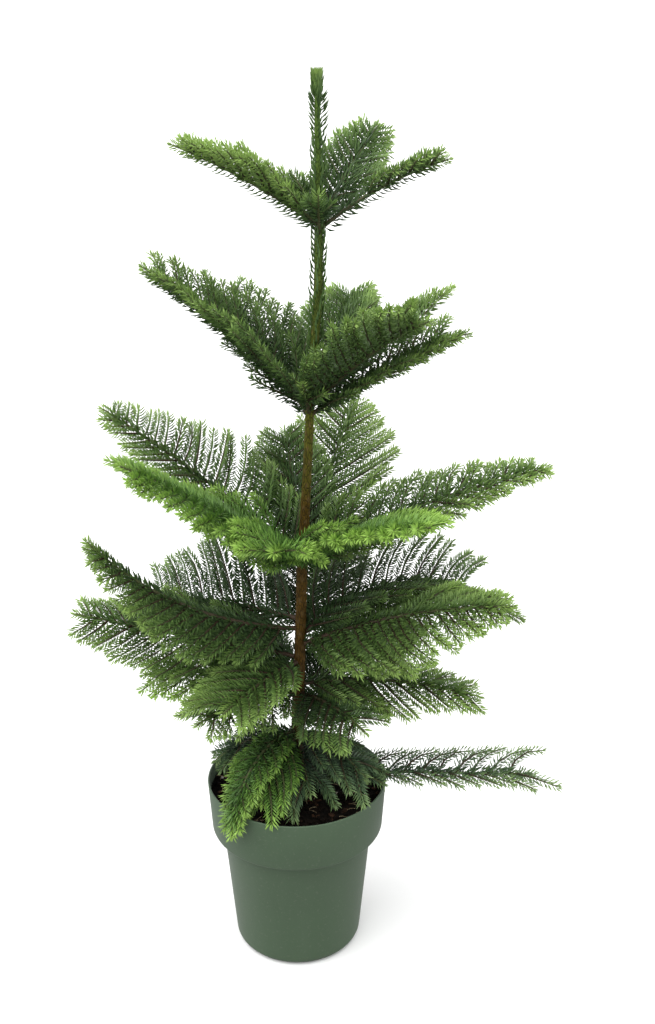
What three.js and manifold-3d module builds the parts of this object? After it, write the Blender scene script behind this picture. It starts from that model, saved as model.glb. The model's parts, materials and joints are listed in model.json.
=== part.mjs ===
import * as THREE from 'three';
import { mergeVertices } from 'three/addons/utils/BufferGeometryUtils.js';
import Module from 'manifold-3d';

// A young Norfolk Island pine in a plastic nursery pot, in millimetres with +Z up.
// The origin is the centre of the pot's underside. Headings are degrees about +Z, and 0 is +X.

const wasm = await Module();
wasm.setup();

// Driving dimensions of the pot
const RIM_RADIUS = 85;
const POT_HEIGHT = 174;
const POT_WALL = 1.8;
const COLLAR_HEIGHT = 50;
const COLLAR_LOW_RADIUS = 81.8;
const COLLAR_LEDGE = 1.2;
const BODY_TOP_RADIUS = 71.5;
const RIM_CHAMFER = 0.6;
const FOOT_RADIUS = 52;
const FOOT_ROUNDING = 9;
const FOOT_TURN = 85;
const ROUNDING_STEPS = 2;
const POT_SIDES = 32;
const DRAIN_COUNT = 6;
const DRAIN_WIDTH = 6;
const DRAIN_HEIGHT = 2.6;
const DRAIN_LENGTH = 24;
const DRAIN_CENTRE = 60;
const DRAIN_HEADING = 277;

// Driving dimensions of the potting soil
const SOIL_EDGE_HEIGHT = 161;
const SOIL_MOUND = 7;
const SOIL_RINGS = [54, 24];
const SOIL_ROUGHNESS = 1.6;
const SOIL_WAVE = 21;

// Clearance between solids that touch on the real plant
const SEAT = 0.3;
const CLEARANCE = 0.35;

// Driving dimensions of the trunk: height, sideways offset and radius of its bark
const TRUNK_FOOT = 118;
const TRUNK_TIP = 805;
const TRUNK_SIDES = 6;
const TRUNK_LINE = [
  { z: 118, x: -0.5, r: 6.4 },
  { z: 222, x: 0.5, r: 5.8 },
  { z: 312, x: 4, r: 5.1 },
  { z: 394, x: 6.5, r: 4.6 },
  { z: 490, x: 12, r: 3.9 },
  { z: 533, x: 14, r: 3.7 },
  { z: 637, x: 21.5, r: 3.8 },
  { z: 700, x: 22.3, r: 3.0 },
  { z: 805, x: 20.6, r: 2.1 },
];
const BARE_RINGS = [160, 190, 222, 268, 312, 355, 394, 442, 490, 533];
const SPIKES = [
  { from: 548, to: 668, step: 5.8 },
  { from: 700, to: 784, step: 3.3 },
  { from: 786, to: 801, step: 1.4 },
];
const NODE_RINGS = [546, 674, 698];
const TRUNK_SPLAY = 20;
const LEADER_LEAN = 40;

// The bud at the tip of the trunk
const BUD_START = 786;
const BUD_SWELL = 0.8;
const BUD_LEAN = 20;

// Driving dimensions of needles and the short rings that bear them
const NEEDLE_LENGTH = 10;
const NEEDLE_LEAN = 42;
const NEEDLE_SPLAY = 28;
const NEEDLE_BASE = 3;
const TIP_NEEDLE = 7;

// Driving dimensions of the shoots, the side branches of a frond
const SHOOT_RADIUS = 0.85;
const SHOOT_TIP_RADIUS = 0.7;
const SHOOT_SPREAD = 50;
const SHOOT_BARE = 8;
const NEEDLE_STEP = 11.5;
const SHOOT_END = 7;
const SHORTEST_SHOOT = 16;

// How far a shoot may differ from the rule of its frond: a share of its length, and degrees
const LENGTH_VARIATION = 0.07;
const FOLD_VARIATION = 5;
const SPREAD_VARIATION = 4;

// The whorls of fronds from the top down. Each frond has the height of its node on the trunk,
// its heading, its length and the angles at which it rises at its root and at its tip. Its roll
// turns its flat side, and its shoots may have their own length, fold, spread and share at the tip.
const TIERS = [
  {
    name: 'tier1', pairs: 5, shoot: 40, fold: 22, sag: 0, stem: 1.9, colour: 0x4b7a35,
    fronds: [
      { side: 'left', node: 689, heading: 184, length: 139, rise: 36, end: 21, fold: 30, shoot: 46,
        tip: 0.12 },
      { side: 'right', node: 686, heading: 352, length: 125, rise: 40, end: 16, roll: -4, fold: 36,
        shoot: 19, tip: 0.8 },
      { side: 'back', node: 691, heading: 65, length: 147, rise: 36, end: 24, roll: 24, fold: 4, shoot: 37,
        spread: 44, tip: 0.36, colour: 0x3c6633 },
      { side: 'back_left', node: 684, heading: 108, length: 68, rise: 48, end: 32, shoot: 30, pairs: 3,
        colour: 0x3c6633 },
      { side: 'front', node: 680, heading: 270, length: 50, rise: 60, end: 52, shoot: 16, pairs: 2 },
    ],
  },
  {
    name: 'tier2', pairs: 6, shoot: 54, fold: 22, sag: 0, stem: 2.1, colour: 0x41702f,
    fronds: [
      { side: 'left', node: 533, heading: 174, length: 189, rise: 47, end: 33, roll: -4, fold: 28,
        shoot: 65, tip: 0.3 },
      { side: 'back_left', node: 528, heading: 132, length: 158, rise: 44, end: 30, shoot: 58, pairs: 4,
        colour: 0x3c6633 },
      { side: 'back', node: 536, heading: 78, length: 221, rise: 24, end: 10, colour: 0x3c6633 },
      { side: 'right', node: 530, heading: 4, length: 152, rise: 35, end: 21, roll: 14, pairs: 5 },
      { side: 'front_right', node: 536, heading: 324, length: 154, rise: 48, end: 26, roll: 2, fold: 28,
        shoot: 64, tip: 0.65 },
      { side: 'front', node: 530, heading: 258, length: 50, rise: 56, end: 48, shoot: 22, pairs: 3 },
    ],
  },
  {
    name: 'tier3', pairs: 7, shoot: 62, fold: 14, sag: 0.02, stem: 2.3, colour: 0x3f6b30,
    fronds: [
      { side: 'back_left', node: 397, heading: 154, length: 244, rise: 34, end: 23, roll: -18, spread: 60,
        tip: 0.12 },
      { side: 'front_left', node: 391, heading: 204, length: 204, rise: 41, end: 30, roll: -5, fold: -8,
        spread: 56, colour: 0x568a35 },
      { side: 'back_centre', node: 403, heading: 98, length: 168, rise: 33, end: 20, shoot: 50, pairs: 5 },
      { side: 'back', node: 391, heading: 76, length: 236, rise: 33, end: 17, shoot: 80, tip: 0.1 },
      { side: 'right', node: 397, heading: 14, length: 249, rise: 25, end: 7, roll: 14, shoot: 50, fold: 10,
        tip: 0.2 },
      { side: 'front_right', node: 391, heading: 312, length: 187, rise: 38, end: 16, fold: 4, pairs: 6,
        colour: 0x568a35 },
      { side: 'front', node: 397, heading: 258, length: 120, rise: 34, end: 14, fold: 6, pairs: 4,
        colour: 0x568a35 },
    ],
  },
  {
    name: 'tier4', pairs: 7, shoot: 60, fold: 14, sag: 0.06, stem: 2.4, colour: 0x35592c,
    fronds: [
      { side: 'back_left', node: 338, heading: 142, length: 202, rise: -3, end: -15, roll: -24, fold: 24,
        shoot: 98, spread: 50, tip: 0.3, pairs: 6 },
      { side: 'front_left', node: 329, heading: 190, length: 222, rise: 5, end: 52, fold: -30, shoot: 56,
        tip: 0.1 },
      { side: 'low_left', node: 300, heading: 172, length: 222, rise: 7, end: 9, roll: -24, fold: -5,
        shoot: 64, tip: 0.26, pairs: 6 },
      { side: 'back_right', node: 320, heading: 22, length: 209, rise: 44, end: -40, roll: 14, shoot: 64,
        fold: 26, spread: 50, tip: 1.1 },
      { side: 'front_right', node: 312, heading: 338, length: 216, rise: 31, end: 9, roll: 22, fold: -14,
        shoot: 72, tip: 0.08 },
      { side: 'back', node: 311, heading: 80, length: 195, rise: 26, end: 6, pairs: 5 },
      { side: 'front', node: 296, heading: 234, length: 116, rise: 6, end: -14, shoot: 58, spread: 42,
        tip: 0.7, pairs: 5, colour: 0x4c7a32 },
    ],
  },
  {
    name: 'tier5', pairs: 5, shoot: 54, fold: 8, sag: 0.2, stem: 2.3, colour: 0x3f6b30,
    fronds: [
      { side: 'left', node: 272, heading: 180, length: 152, rise: 16, end: -10, roll: -12, shoot: 55,
        colour: 0x568a35 },
      { side: 'front_left', node: 263, heading: 222, length: 126, rise: 24, end: -16, roll: -6, pairs: 4,
        colour: 0x4c7a32 },
      { side: 'right', node: 272, heading: 358, length: 176, rise: 10, end: -18, roll: 6 },
      { side: 'back_right', node: 266, heading: 48, length: 175, rise: 18, end: -12 },
      { side: 'front_right', node: 263, heading: 312, length: 98, rise: 14, end: -20, roll: 12, pairs: 4 },
      { side: 'back_left', node: 268, heading: 130, length: 170, rise: 18, end: -8 },
    ],
  },
  {
    name: 'tier6', pairs: 3, shoot: 40, fold: 4, sag: 0.25, stem: 2.0, colour: 0x35592c,
    fronds: [
      { side: 'long_right', node: 180, heading: 351, length: 235, rise: 4, end: 5, roll: 6, shoot: 35,
        fold: 16, sag: 0.02, spread: 42, tip: 1.3, pairs: 7 },
      { side: 'front_left', node: 224, heading: 232, length: 141, rise: 18, end: -94, shoot: 27, pairs: 4,
        colour: 0x6b9a2b },
      { side: 'front', node: 217, heading: 246, length: 92, rise: 11, end: -64, shoot: 44, spread: 34,
        tip: 0.8, colour: 0x568a35 },
      { side: 'front_middle', node: 212, heading: 284, length: 66, rise: -8, end: -50, shoot: 42,
        spread: 32, tip: 0.8 },
      { side: 'front_right', node: 219, heading: 328, length: 88, rise: 8, end: -46, shoot: 42, spread: 40,
        tip: 0.8 },
      { side: 'left', node: 219, heading: 186, length: 90, rise: 8, end: -46, shoot: 36 },
      { side: 'back', node: 222, heading: 60, length: 122, rise: 22, end: -25, pairs: 4 },
    ],
  },
];

// Places along a frond's stem, and its slimming from root to tip
const BARE_STATION = 11;
const FIRST_PAIR = 20;
const LAST_PAIR = 0.9;
const TIP_STRETCH = 19;
const STEM_SIDES = 3;
const STEM_TAPER = 0.62;

// The outline of a frond: its shoots grow longer from ROOT_SHARE on, and shorter after TAPER_START
const ROOT_SHARE = 0.72;
const SWELL = 1.1;
const TAPER_START = 0.38;
const TIP_SHARE = 0.34;

// Seeds of the random draws, by tier and by frond
const FIRST_SEED = 101;
const TIER_SEED = 37;
const FROND_SEED = 7;

// Colours and roughness
const POT_COLOUR = 0x4e644d;
const POT_ROUGHNESS = 0.55;
const SOIL_COLOUR = 0x2b1f19;
const SOIL_ROUGH = 1;
const BARK_COLOUR = 0x66513a;
const BARK_ROUGHNESS = 0.85;
const NEEDLE_ROUGHNESS = 0.7;

// A repeatable draw between -1 and 1
function makeDraw(seed) {
  let state = seed;
  return () => {
    state = (Math.imul(state, 1664525) + 1013904223) >>> 0;
    return (state / 0xffffffff) * 2 - 1;
  };
}

const rad = THREE.MathUtils.degToRad;

// Solids from closed geometry, and back
const MERGE_DISTANCE = 1e-4;

function solidFromArrays(points, faces) {
  const vertProperties = new Float32Array(points.flatMap((p) => [p.x, p.y, p.z]));
  const triVerts = new Uint32Array(faces.flat());
  return new wasm.Manifold(new wasm.Mesh({ numProp: 3, vertProperties, triVerts }));
}

function solidFromGeometry(geometry) {
  const bare = geometry.clone();
  bare.deleteAttribute('normal');
  bare.deleteAttribute('uv');
  const merged = mergeVertices(bare, MERGE_DISTANCE);
  const place = merged.getAttribute('position');
  const points = [];
  for (let i = 0; i < place.count; i += 1) points.push(new THREE.Vector3().fromBufferAttribute(place, i));
  const faces = [];
  const index = merged.getIndex().array;
  for (let i = 0; i < index.length; i += 3) {
    const [a, b, c] = [index[i], index[i + 1], index[i + 2]];
    if (a !== b && b !== c && c !== a) faces.push([a, b, c]);
  }
  return solidFromArrays(points, faces);
}

function largestBody(solid) {
  const bodies = solid.decompose();
  return bodies.reduce((best, body) => (body.volume() > best.volume() ? body : best));
}

function meshFromSolid(name, solid, colour, roughness) {
  const { vertProperties, triVerts } = solid.getMesh();
  const geometry = new THREE.BufferGeometry();
  geometry.setAttribute('position', new THREE.BufferAttribute(new Float32Array(vertProperties), 3));
  geometry.setIndex(new THREE.BufferAttribute(new Uint32Array(triVerts), 1));
  geometry.computeVertexNormals();
  const material = new THREE.MeshStandardMaterial({ color: colour, roughness, metalness: 0 });
  const mesh = new THREE.Mesh(geometry, material);
  mesh.name = name;
  return mesh;
}

// Turned shapes of the pot and the soil
function lathe(profile) {
  const points = profile.map(([r, z]) => new THREE.Vector2(r, z));
  return new THREE.LatheGeometry(points, POT_SIDES).rotateX(Math.PI / 2);
}

// The pot's wall, from the foot's rounding up to the rim, moved inwards by a distance
function wallProfile(inset) {
  const rounding = FOOT_ROUNDING - inset;
  const profile = [];
  for (let step = 0; step <= ROUNDING_STEPS; step += 1) {
    const angle = (step / ROUNDING_STEPS) * rad(FOOT_TURN);
    profile.push([FOOT_RADIUS + rounding * Math.sin(angle), FOOT_ROUNDING - rounding * Math.cos(angle)]);
  }
  const ledge = POT_HEIGHT - COLLAR_HEIGHT + inset;
  profile.push([BODY_TOP_RADIUS - inset, ledge]);
  profile.push([COLLAR_LOW_RADIUS - inset, ledge + COLLAR_LEDGE]);
  return profile;
}

function buildPot() {
  const outer = wallProfile(0);
  const inner = wallProfile(POT_WALL).reverse();
  const profile = [
    [0, 0],
    ...outer,
    [RIM_RADIUS, POT_HEIGHT - RIM_CHAMFER],
    [RIM_RADIUS - RIM_CHAMFER, POT_HEIGHT],
    [RIM_RADIUS - POT_WALL, POT_HEIGHT],
    ...inner,
    [0, POT_WALL],
  ];
  let pot = solidFromGeometry(lathe(profile));
  for (let i = 0; i < DRAIN_COUNT; i += 1) {
    const slot = new THREE.BoxGeometry(DRAIN_LENGTH, DRAIN_WIDTH, DRAIN_HEIGHT * 2);
    slot.translate(DRAIN_CENTRE, 0, 0).rotateZ(rad(DRAIN_HEADING + (i * 360) / DRAIN_COUNT));
    pot = pot.subtract(solidFromGeometry(slot));
  }
  return pot;
}

// Rises and hollows of the soil's surface
function soilWaves(x, y) {
  const turn = (2 * Math.PI) / SOIL_WAVE;
  return Math.sin(x * turn + 1) * Math.cos(y * turn) + 0.5 * Math.sin(((x - y) * turn) / 2);
}

// The soil fills the pot to below its rim, and rises towards the trunk with an uneven surface
function buildSoil(trunkHole) {
  const below = wallProfile(POT_WALL + SEAT).filter((point, i) => i === 0 || i >= ROUNDING_STEPS);
  const slope = (RIM_RADIUS - COLLAR_LOW_RADIUS) / COLLAR_HEIGHT;
  const [collarRadius, collarBase] = below[below.length - 1];
  const edgeRadius = collarRadius + slope * (SOIL_EDGE_HEIGHT - collarBase);
  const mound = (r) => SOIL_EDGE_HEIGHT + SOIL_MOUND * (1 - r / edgeRadius);
  const surface = SOIL_RINGS.map((r) => [r, mound(r)]);
  const geometry = lathe([
    [0, below[0][1]],
    ...below,
    [edgeRadius, SOIL_EDGE_HEIGHT],
    ...surface,
    [0, mound(0)],
  ]);
  const place = geometry.getAttribute('position');
  for (let i = 0; i < place.count; i += 1) {
    const [x, y, z] = [place.getX(i), place.getY(i), place.getZ(i)];
    const onMound = z > SOIL_EDGE_HEIGHT + MERGE_DISTANCE;
    if (onMound) place.setZ(i, z + SOIL_ROUGHNESS * soilWaves(x, y));
  }
  return solidFromGeometry(geometry).subtract(trunkHole);
}

// Whether the edge between two points goes through a facet that it doesn't share a corner with
function pierces(points, [from, to], facet) {
  if (facet.includes(from) || facet.includes(to)) return false;
  const [start, end] = [points[from], points[to]];
  const ray = new THREE.Ray(start, end.clone().sub(start).normalize());
  const [a, b, c] = facet.map((i) => points[i]);
  const hit = ray.intersectTriangle(a, b, c, false, new THREE.Vector3());
  return hit !== null && hit.distanceTo(start) < start.distanceTo(end);
}

function edgesOf([a, b, c]) {
  return [[a, b], [b, c], [c, a]];
}

function boxOf(points, indexes) {
  return new THREE.Box3().setFromPoints(indexes.map((i) => points[i]));
}

// The three faces of a needle that stands on a facet
function spike([a, b, c], tip) {
  return [[a, b, tip], [b, c, tip], [c, a, tip]];
}

// A skin collects the points and faces of one stem, and the needles that may stand on it
class Skin {
  constructor() {
    this.points = [];
    this.faces = [];
    this.needles = [];
  }

  add(point) {
    this.points.push(point);
    return this.points.length - 1;
  }

  centre(facet) {
    return facet.reduce((sum, i) => sum.add(this.points[i]), new THREE.Vector3()).divideScalar(facet.length);
  }

  // Needles are set once every stem is in place, and one that would cross another face is left off
  setNeedles() {
    const { points, faces, needles } = this;
    const bare = needles.map(({ facet }) => facet);
    const facets = [...faces, ...bare];
    const boxes = facets.map((facet) => boxOf(points, facet));
    needles.forEach(({ facet, tip }, i) => {
      const grown = spike(facet, this.add(tip));
      const rising = grown.map((face) => [face[0], face[2]]);
      const box = boxOf(points, [...facet, points.length - 1]);
      const crosses = (other, j) => other !== null && other !== facet && box.intersectsBox(boxes[j])
        && (rising.some((edge) => pierces(points, edge, other))
          || edgesOf(other).some((edge) => grown.some((face) => pierces(points, edge, face))));
      if (facets.some(crosses)) return;
      facets[faces.length + i] = null;
      grown.forEach((face) => {
        facets.push(face);
        boxes.push(boxOf(points, face));
      });
    });
    this.faces = facets.filter((facet) => facet !== null);
    this.needles = [];
  }

  solid() {
    const points = [...this.points];
    const grown = this.needles.flatMap(({ facet, tip }) => spike(facet, points.push(tip) - 1));
    return solidFromArrays(points, [...this.faces, ...grown]);
  }
}

// A frame has a place, the direction of growth, and two directions across it
function frameAt(place, along, towards) {
  const across = towards.clone().addScaledVector(along, -towards.dot(along)).normalize();
  return { place, along, across, over: along.clone().cross(across) };
}

function around(frame, degrees) {
  const angle = rad(degrees);
  const out = frame.across.clone().multiplyScalar(Math.cos(angle));
  return out.addScaledVector(frame.over, Math.sin(angle));
}

function addRing(skin, frame, radius, sides) {
  const ring = [];
  for (let j = 0; j < sides; j += 1) {
    ring.push(skin.add(frame.place.clone().addScaledVector(around(frame, (360 * j) / sides), radius)));
  }
  return ring;
}

function plain(skin, facet) {
  skin.faces.push(facet);
}

function needleTip(skin, facet, frame, heading, lean) {
  const out = around(frame, heading).multiplyScalar(Math.sin(rad(lean)));
  out.addScaledVector(frame.along, Math.cos(rad(lean)));
  return skin.centre(facet).addScaledVector(out, NEEDLE_LENGTH);
}

function needleOnBand(frame, sides) {
  return (skin, facet, side, front) => {
    const heading = (360 * (side + 0.5)) / sides + (front ? NEEDLE_SPLAY : -NEEDLE_SPLAY);
    skin.needles.push({ facet, tip: needleTip(skin, facet, frame, heading, NEEDLE_LEAN) });
  };
}

// The wall between two rings, with two facets on each side
function addBand(skin, lower, upper, finish = plain) {
  lower.forEach((corner, side) => {
    const next = (side + 1) % lower.length;
    finish(skin, [corner, lower[next], upper[side]], side, false);
    finish(skin, [lower[next], upper[next], upper[side]], side, true);
  });
}

// One corner of a stem is a row of points. It has a short step with a needle on both sides at each
// of its own places, and a single point at each ring, which all corners share.
function cornerRow(skin, stem, corner, start, places, rings) {
  const steps = [
    ...rings.map((at) => ({ at })),
    ...places.flatMap((at) => [{ at }, { at: at + NEEDLE_BASE, spiny: true }]),
  ].sort((p, q) => p.at - q.at);
  const row = steps.map((step) => ({ ...step, index: skin.add(stem.surface(corner, step.at)) }));
  return [{ at: -Infinity, index: start }, ...row];
}

// The walls between neighbouring corners, which end together in one tip
function stitchRows(skin, stem, rows, end) {
  rows.forEach((row, corner) => {
    const next = rows[(corner + 1) % rows.length];
    let [i, j] = [0, 0];
    while (i + 1 < row.length || j + 1 < next.length) {
      const own = j + 1 === next.length || (i + 1 < row.length && row[i + 1].at <= next[j + 1].at);
      const step = own ? row[i + 1] : next[j + 1];
      const facet = own
        ? [row[i].index, next[j].index, step.index]
        : [next[j].index, step.index, row[i].index];
      if (step.spiny && stem.spiny) {
        const edge = (360 * (own ? corner : corner + 1)) / rows.length;
        const heading = edge + (own ? stem.splay : -stem.splay);
        const tip = needleTip(skin, facet, stem.frame(step.at), heading, stem.lean(step.at));
        skin.needles.push({ facet, tip });
      } else {
        plain(skin, facet);
      }
      if (own) i += 1;
      else j += 1;
    }
    skin.faces.push([row[i].index, next[j].index, end]);
  });
}

// Needles stand in a spiral, one corner after the other
function spiralRows(skin, stem, ring, places, rings = []) {
  return ring.map((start, corner) => {
    const own = places.filter((at, i) => i % ring.length === corner);
    return cornerRow(skin, stem, corner, start, own, rings);
  });
}

// A shoot grows straight out of one facet of a frond's stem and ends in a point
function growShoot(skin, facet, shoot) {
  const sides = facet.length;
  const root = skin.centre(facet);
  const towards = skin.points[facet[0]].clone().sub(root);
  const frame = (at) => frameAt(root.clone().addScaledVector(shoot.along, at), shoot.along, towards);
  const radiusAt = (at) => SHOOT_RADIUS + (SHOOT_TIP_RADIUS - SHOOT_RADIUS) * (at / shoot.length);
  const surface = (corner, at) => {
    const here = frame(at);
    return here.place.clone().addScaledVector(around(here, (360 * corner) / sides), radiusAt(at));
  };
  const places = [];
  for (let at = shoot.length - SHOOT_END; at >= SHOOT_BARE; at -= NEEDLE_STEP) places.push(at);
  const stem = { frame, surface, spiny: true, splay: NEEDLE_SPLAY, lean: () => NEEDLE_LEAN };
  const tip = skin.add(frame(shoot.length).place);
  stitchRows(skin, stem, spiralRows(skin, stem, facet, places), tip);
}

// A place on a frond's arched stem, with the directions of growth, up and right there
function stemFrame(frond, distance) {
  const turn = rad(frond.end - frond.rise);
  const start = rad(frond.rise);
  const angle = start + (turn * distance) / frond.length;
  const radius = frond.length / turn;
  const place = new THREE.Vector3(
    radius * (Math.sin(angle) - Math.sin(start)),
    0,
    radius * (Math.cos(start) - Math.cos(angle)),
  );
  const along = new THREE.Vector3(Math.cos(angle), 0, Math.sin(angle));
  const up = new THREE.Vector3(-Math.sin(angle), 0, Math.cos(angle));
  return frameAt(place, along, up.applyAxisAngle(along, rad(frond.roll)));
}

// How long the shoots are along a frond, from its root at 0 to its tip at 1
function shootShare(frond, along) {
  const swell = Math.min(1, ROOT_SHARE + SWELL * along);
  const taper = Math.max(0, (along - TAPER_START) / (1 - TAPER_START));
  return swell * (1 - (1 - frond.tip) * taper);
}

// The stem of a frond, with short rings that leave a facet on each side open for a shoot
function growStem(skin, frond) {
  const openings = [];
  const radiusAt = (distance) => frond.stem * (1 - STEM_TAPER * (distance / frond.length));
  const span = Math.min(frond.length * LAST_PAIR, frond.length - TIP_STRETCH) - FIRST_PAIR;
  const stations = [{ at: BARE_STATION, shoots: false }];
  for (let i = 0; i < frond.pairs; i += 1) {
    stations.push({ at: FIRST_PAIR + (span * i) / (frond.pairs - 1), shoots: true });
  }
  stations.push({ at: frond.length - TIP_NEEDLE - NEEDLE_BASE, tip: true });
  let ring = addRing(skin, stemFrame(frond, 0), radiusAt(0), STEM_SIDES);
  skin.faces.push([...ring].reverse());
  stations.forEach(({ at, shoots, tip }) => {
    const frame = stemFrame(frond, at);
    const lower = addRing(skin, frame, radiusAt(at), STEM_SIDES);
    addBand(skin, ring, lower);
    const after = stemFrame(frond, at + NEEDLE_BASE);
    ring = addRing(skin, after, radiusAt(at + NEEDLE_BASE), STEM_SIDES);
    const grow = needleOnBand(frame, STEM_SIDES);
    addBand(skin, lower, ring, (target, facet, side, front) => {
      const below = side === 1;
      if (shoots && !below && !front) {
        openings.push({ facet, right: side === 0, at, frame });
      } else if (shoots || tip || below) {
        grow(target, facet, side, front);
      } else {
        plain(target, facet);
      }
    });
  });
  skin.faces.push(...spike(ring, skin.add(stemFrame(frond, frond.length).place)));
  return openings;
}

// The direction of a shoot: spread from the stem, folded up out of the frond's plane, and sagging
function shootDirection(frond, opening, fold, spread) {
  const { along, across, over } = opening.frame;
  const side = over.clone().multiplyScalar(opening.right ? 1 : -1);
  const out = side.multiplyScalar(Math.cos(rad(fold))).addScaledVector(across, Math.sin(rad(fold)));
  const direction = along.clone().multiplyScalar(Math.cos(rad(spread)));
  direction.addScaledVector(out, Math.sin(rad(spread)));
  direction.z -= frond.sag;
  return direction.normalize();
}

// A shoot that would touch another frond is bent up or down, and then shortened, until it is clear
const BENDS = [0, 9, -9, 18, -18, 28, -28, 40, -40];
const SHORTENINGS = [1, 0.84, 0.68, 0.5];

function placeInWorld(solid, frond) {
  return solid.rotate([0, 0, frond.heading]).translate(frond.root);
}

function boxesApart(a, b) {
  const [p, q] = [a.boundingBox(), b.boundingBox()];
  return [0, 1, 2].some((i) => p.min[i] > q.max[i] + CLEARANCE || q.min[i] > p.max[i] + CLEARANCE);
}

function isClear(solid, obstacles) {
  return obstacles.every((other) => (
    boxesApart(solid, other) || solid.minGap(other, CLEARANCE * 2) >= CLEARANCE));
}

function trialShoot(skin, opening, shoot) {
  const trial = new Skin();
  const facet = opening.facet.map((i) => trial.add(skin.points[i]));
  trial.faces.push([...facet].reverse());
  growShoot(trial, facet, shoot);
  return trial.solid();
}

function fitShoot(skin, frond, opening, draw, obstacles) {
  const variation = 1 + LENGTH_VARIATION * draw();
  const full = frond.shoot * shootShare(frond, opening.at / frond.length) * variation;
  const fold = frond.fold + FOLD_VARIATION * draw();
  const spread = frond.spread + SPREAD_VARIATION * draw();
  for (const shortening of SHORTENINGS) {
    for (const bend of BENDS) {
      const along = shootDirection(frond, opening, fold + bend, spread);
      const shoot = { length: Math.max(full * shortening, SHORTEST_SHOOT), along };
      const solid = placeInWorld(trialShoot(skin, opening, shoot), frond);
      if (isClear(solid, obstacles)) return { shoot, solid };
    }
  }
  return null;
}

// The trunk, bare below and set with needles above
function trunkAt(z, extra = 0) {
  const above = TRUNK_LINE.findIndex((knot) => knot.z >= z);
  const [low, high] = [TRUNK_LINE[Math.max(above - 1, 0)], TRUNK_LINE[above]];
  const share = high.z > low.z ? (z - low.z) / (high.z - low.z) : 0;
  const x = low.x + (high.x - low.x) * share;
  return { place: new THREE.Vector3(x, 0, z), radius: low.r + (high.r - low.r) * share + extra };
}

function growTrunk(extra, spiny) {
  const skin = new Skin();
  const up = new THREE.Vector3(0, 0, 1);
  const right = new THREE.Vector3(1, 0, 0);
  const frame = (z) => frameAt(trunkAt(z).place, up, right);
  const surface = (corner, z) => {
    const here = frame(z);
    const swell = z > BUD_START ? BUD_SWELL : 0;
    const radius = trunkAt(z, extra + swell).radius;
    return here.place.clone().addScaledVector(around(here, (360 * corner) / TRUNK_SIDES), radius);
  };
  const ringAt = (z) => Array.from({ length: TRUNK_SIDES }, (_, corner) => skin.add(surface(corner, z)));
  let ring = ringAt(TRUNK_FOOT);
  skin.faces.push(...fan([...ring].reverse()));
  BARE_RINGS.forEach((z) => {
    const next = ringAt(z);
    addBand(skin, ring, next);
    ring = next;
  });
  const places = SPIKES.flatMap(({ from, to, step }) => (
    Array.from({ length: Math.floor((to - from) / step) + 1 }, (_, i) => from + i * step)));
  const lean = (z) => (z > BUD_START ? BUD_LEAN : LEADER_LEAN);
  const stem = { frame, surface, spiny, splay: TRUNK_SPLAY, lean };
  const tip = skin.add(trunkAt(TRUNK_TIP).place.clone());
  stitchRows(skin, stem, spiralRows(skin, stem, ring, places, NODE_RINGS), tip);
  skin.setNeedles();
  return skin.solid();
}

function fan(ring) {
  return ring.slice(2).map((corner, i) => [ring[0], ring[i + 1], corner]);
}

// The fronds: their stems come first, and then the shoots find their way between them
function describeFronds() {
  return TIERS.flatMap((tier, t) => tier.fronds.map((frond, i) => {
    const merged = { roll: 0, spread: SHOOT_SPREAD, tip: TIP_SHARE, ...tier, ...frond };
    const root = trunkAt(merged.node).place.toArray();
    const seed = FIRST_SEED + TIER_SEED * t + FROND_SEED * i;
    return { ...merged, name: `${tier.name}_${frond.side}_frond`, root, seed };
  }));
}

function buildFronds(neighbours, trunkTool) {
  const grown = describeFronds().map((frond) => {
    const skin = new Skin();
    const openings = growStem(skin, frond);
    const bare = new Skin();
    bare.points = skin.points.slice();
    bare.faces = [...skin.faces, ...openings.map((opening) => opening.facet)];
    bare.needles = skin.needles;
    return { frond, skin, openings, stem: placeInWorld(bare.solid(), frond), shoots: [] };
  });
  return grown.map((item) => {
    const draw = makeDraw(item.frond.seed);
    const others = grown.filter((other) => other !== item);
    const stems = others.map((other) => other.stem);
    const shoots = others.flatMap((other) => other.shoots);
    item.openings.forEach((opening) => {
      const partner = item.shoots.find((entry) => entry.at === opening.at);
      const siblings = item.shoots.filter((entry) => entry !== partner).map((entry) => entry.solid);
      const obstacles = [...neighbours, ...stems, ...shoots.map((entry) => entry.solid), ...siblings];
      const fitted = fitShoot(item.skin, item.frond, opening, draw, obstacles);
      if (fitted === null) {
        plain(item.skin, opening.facet);
      } else {
        growShoot(item.skin, opening.facet, fitted.shoot);
        item.shoots.push({ at: opening.at, solid: fitted.solid });
      }
    });
    item.skin.setNeedles();
    const tool = trunkTool.translate(item.frond.root.map((v) => -v)).rotate([0, 0, -item.frond.heading]);
    const solid = largestBody(item.skin.solid().subtract(tool));
    return { frond: item.frond, solid };
  });
}

const trunkSolid = growTrunk(0, true);
const trunkTool = growTrunk(SEAT / Math.cos(Math.PI / TRUNK_SIDES), false);
const potSolid = buildPot();
const soilSolid = buildSoil(trunkTool.translate([0, 0, -SEAT]));

const plant = new THREE.Group();
plant.name = 'potted_norfolk_pine';
plant.add(meshFromSolid('nursery_pot', potSolid, POT_COLOUR, POT_ROUGHNESS));
plant.add(meshFromSolid('potting_soil', soilSolid, SOIL_COLOUR, SOIL_ROUGH));
plant.add(meshFromSolid('trunk', trunkSolid, BARK_COLOUR, BARK_ROUGHNESS));

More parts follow.
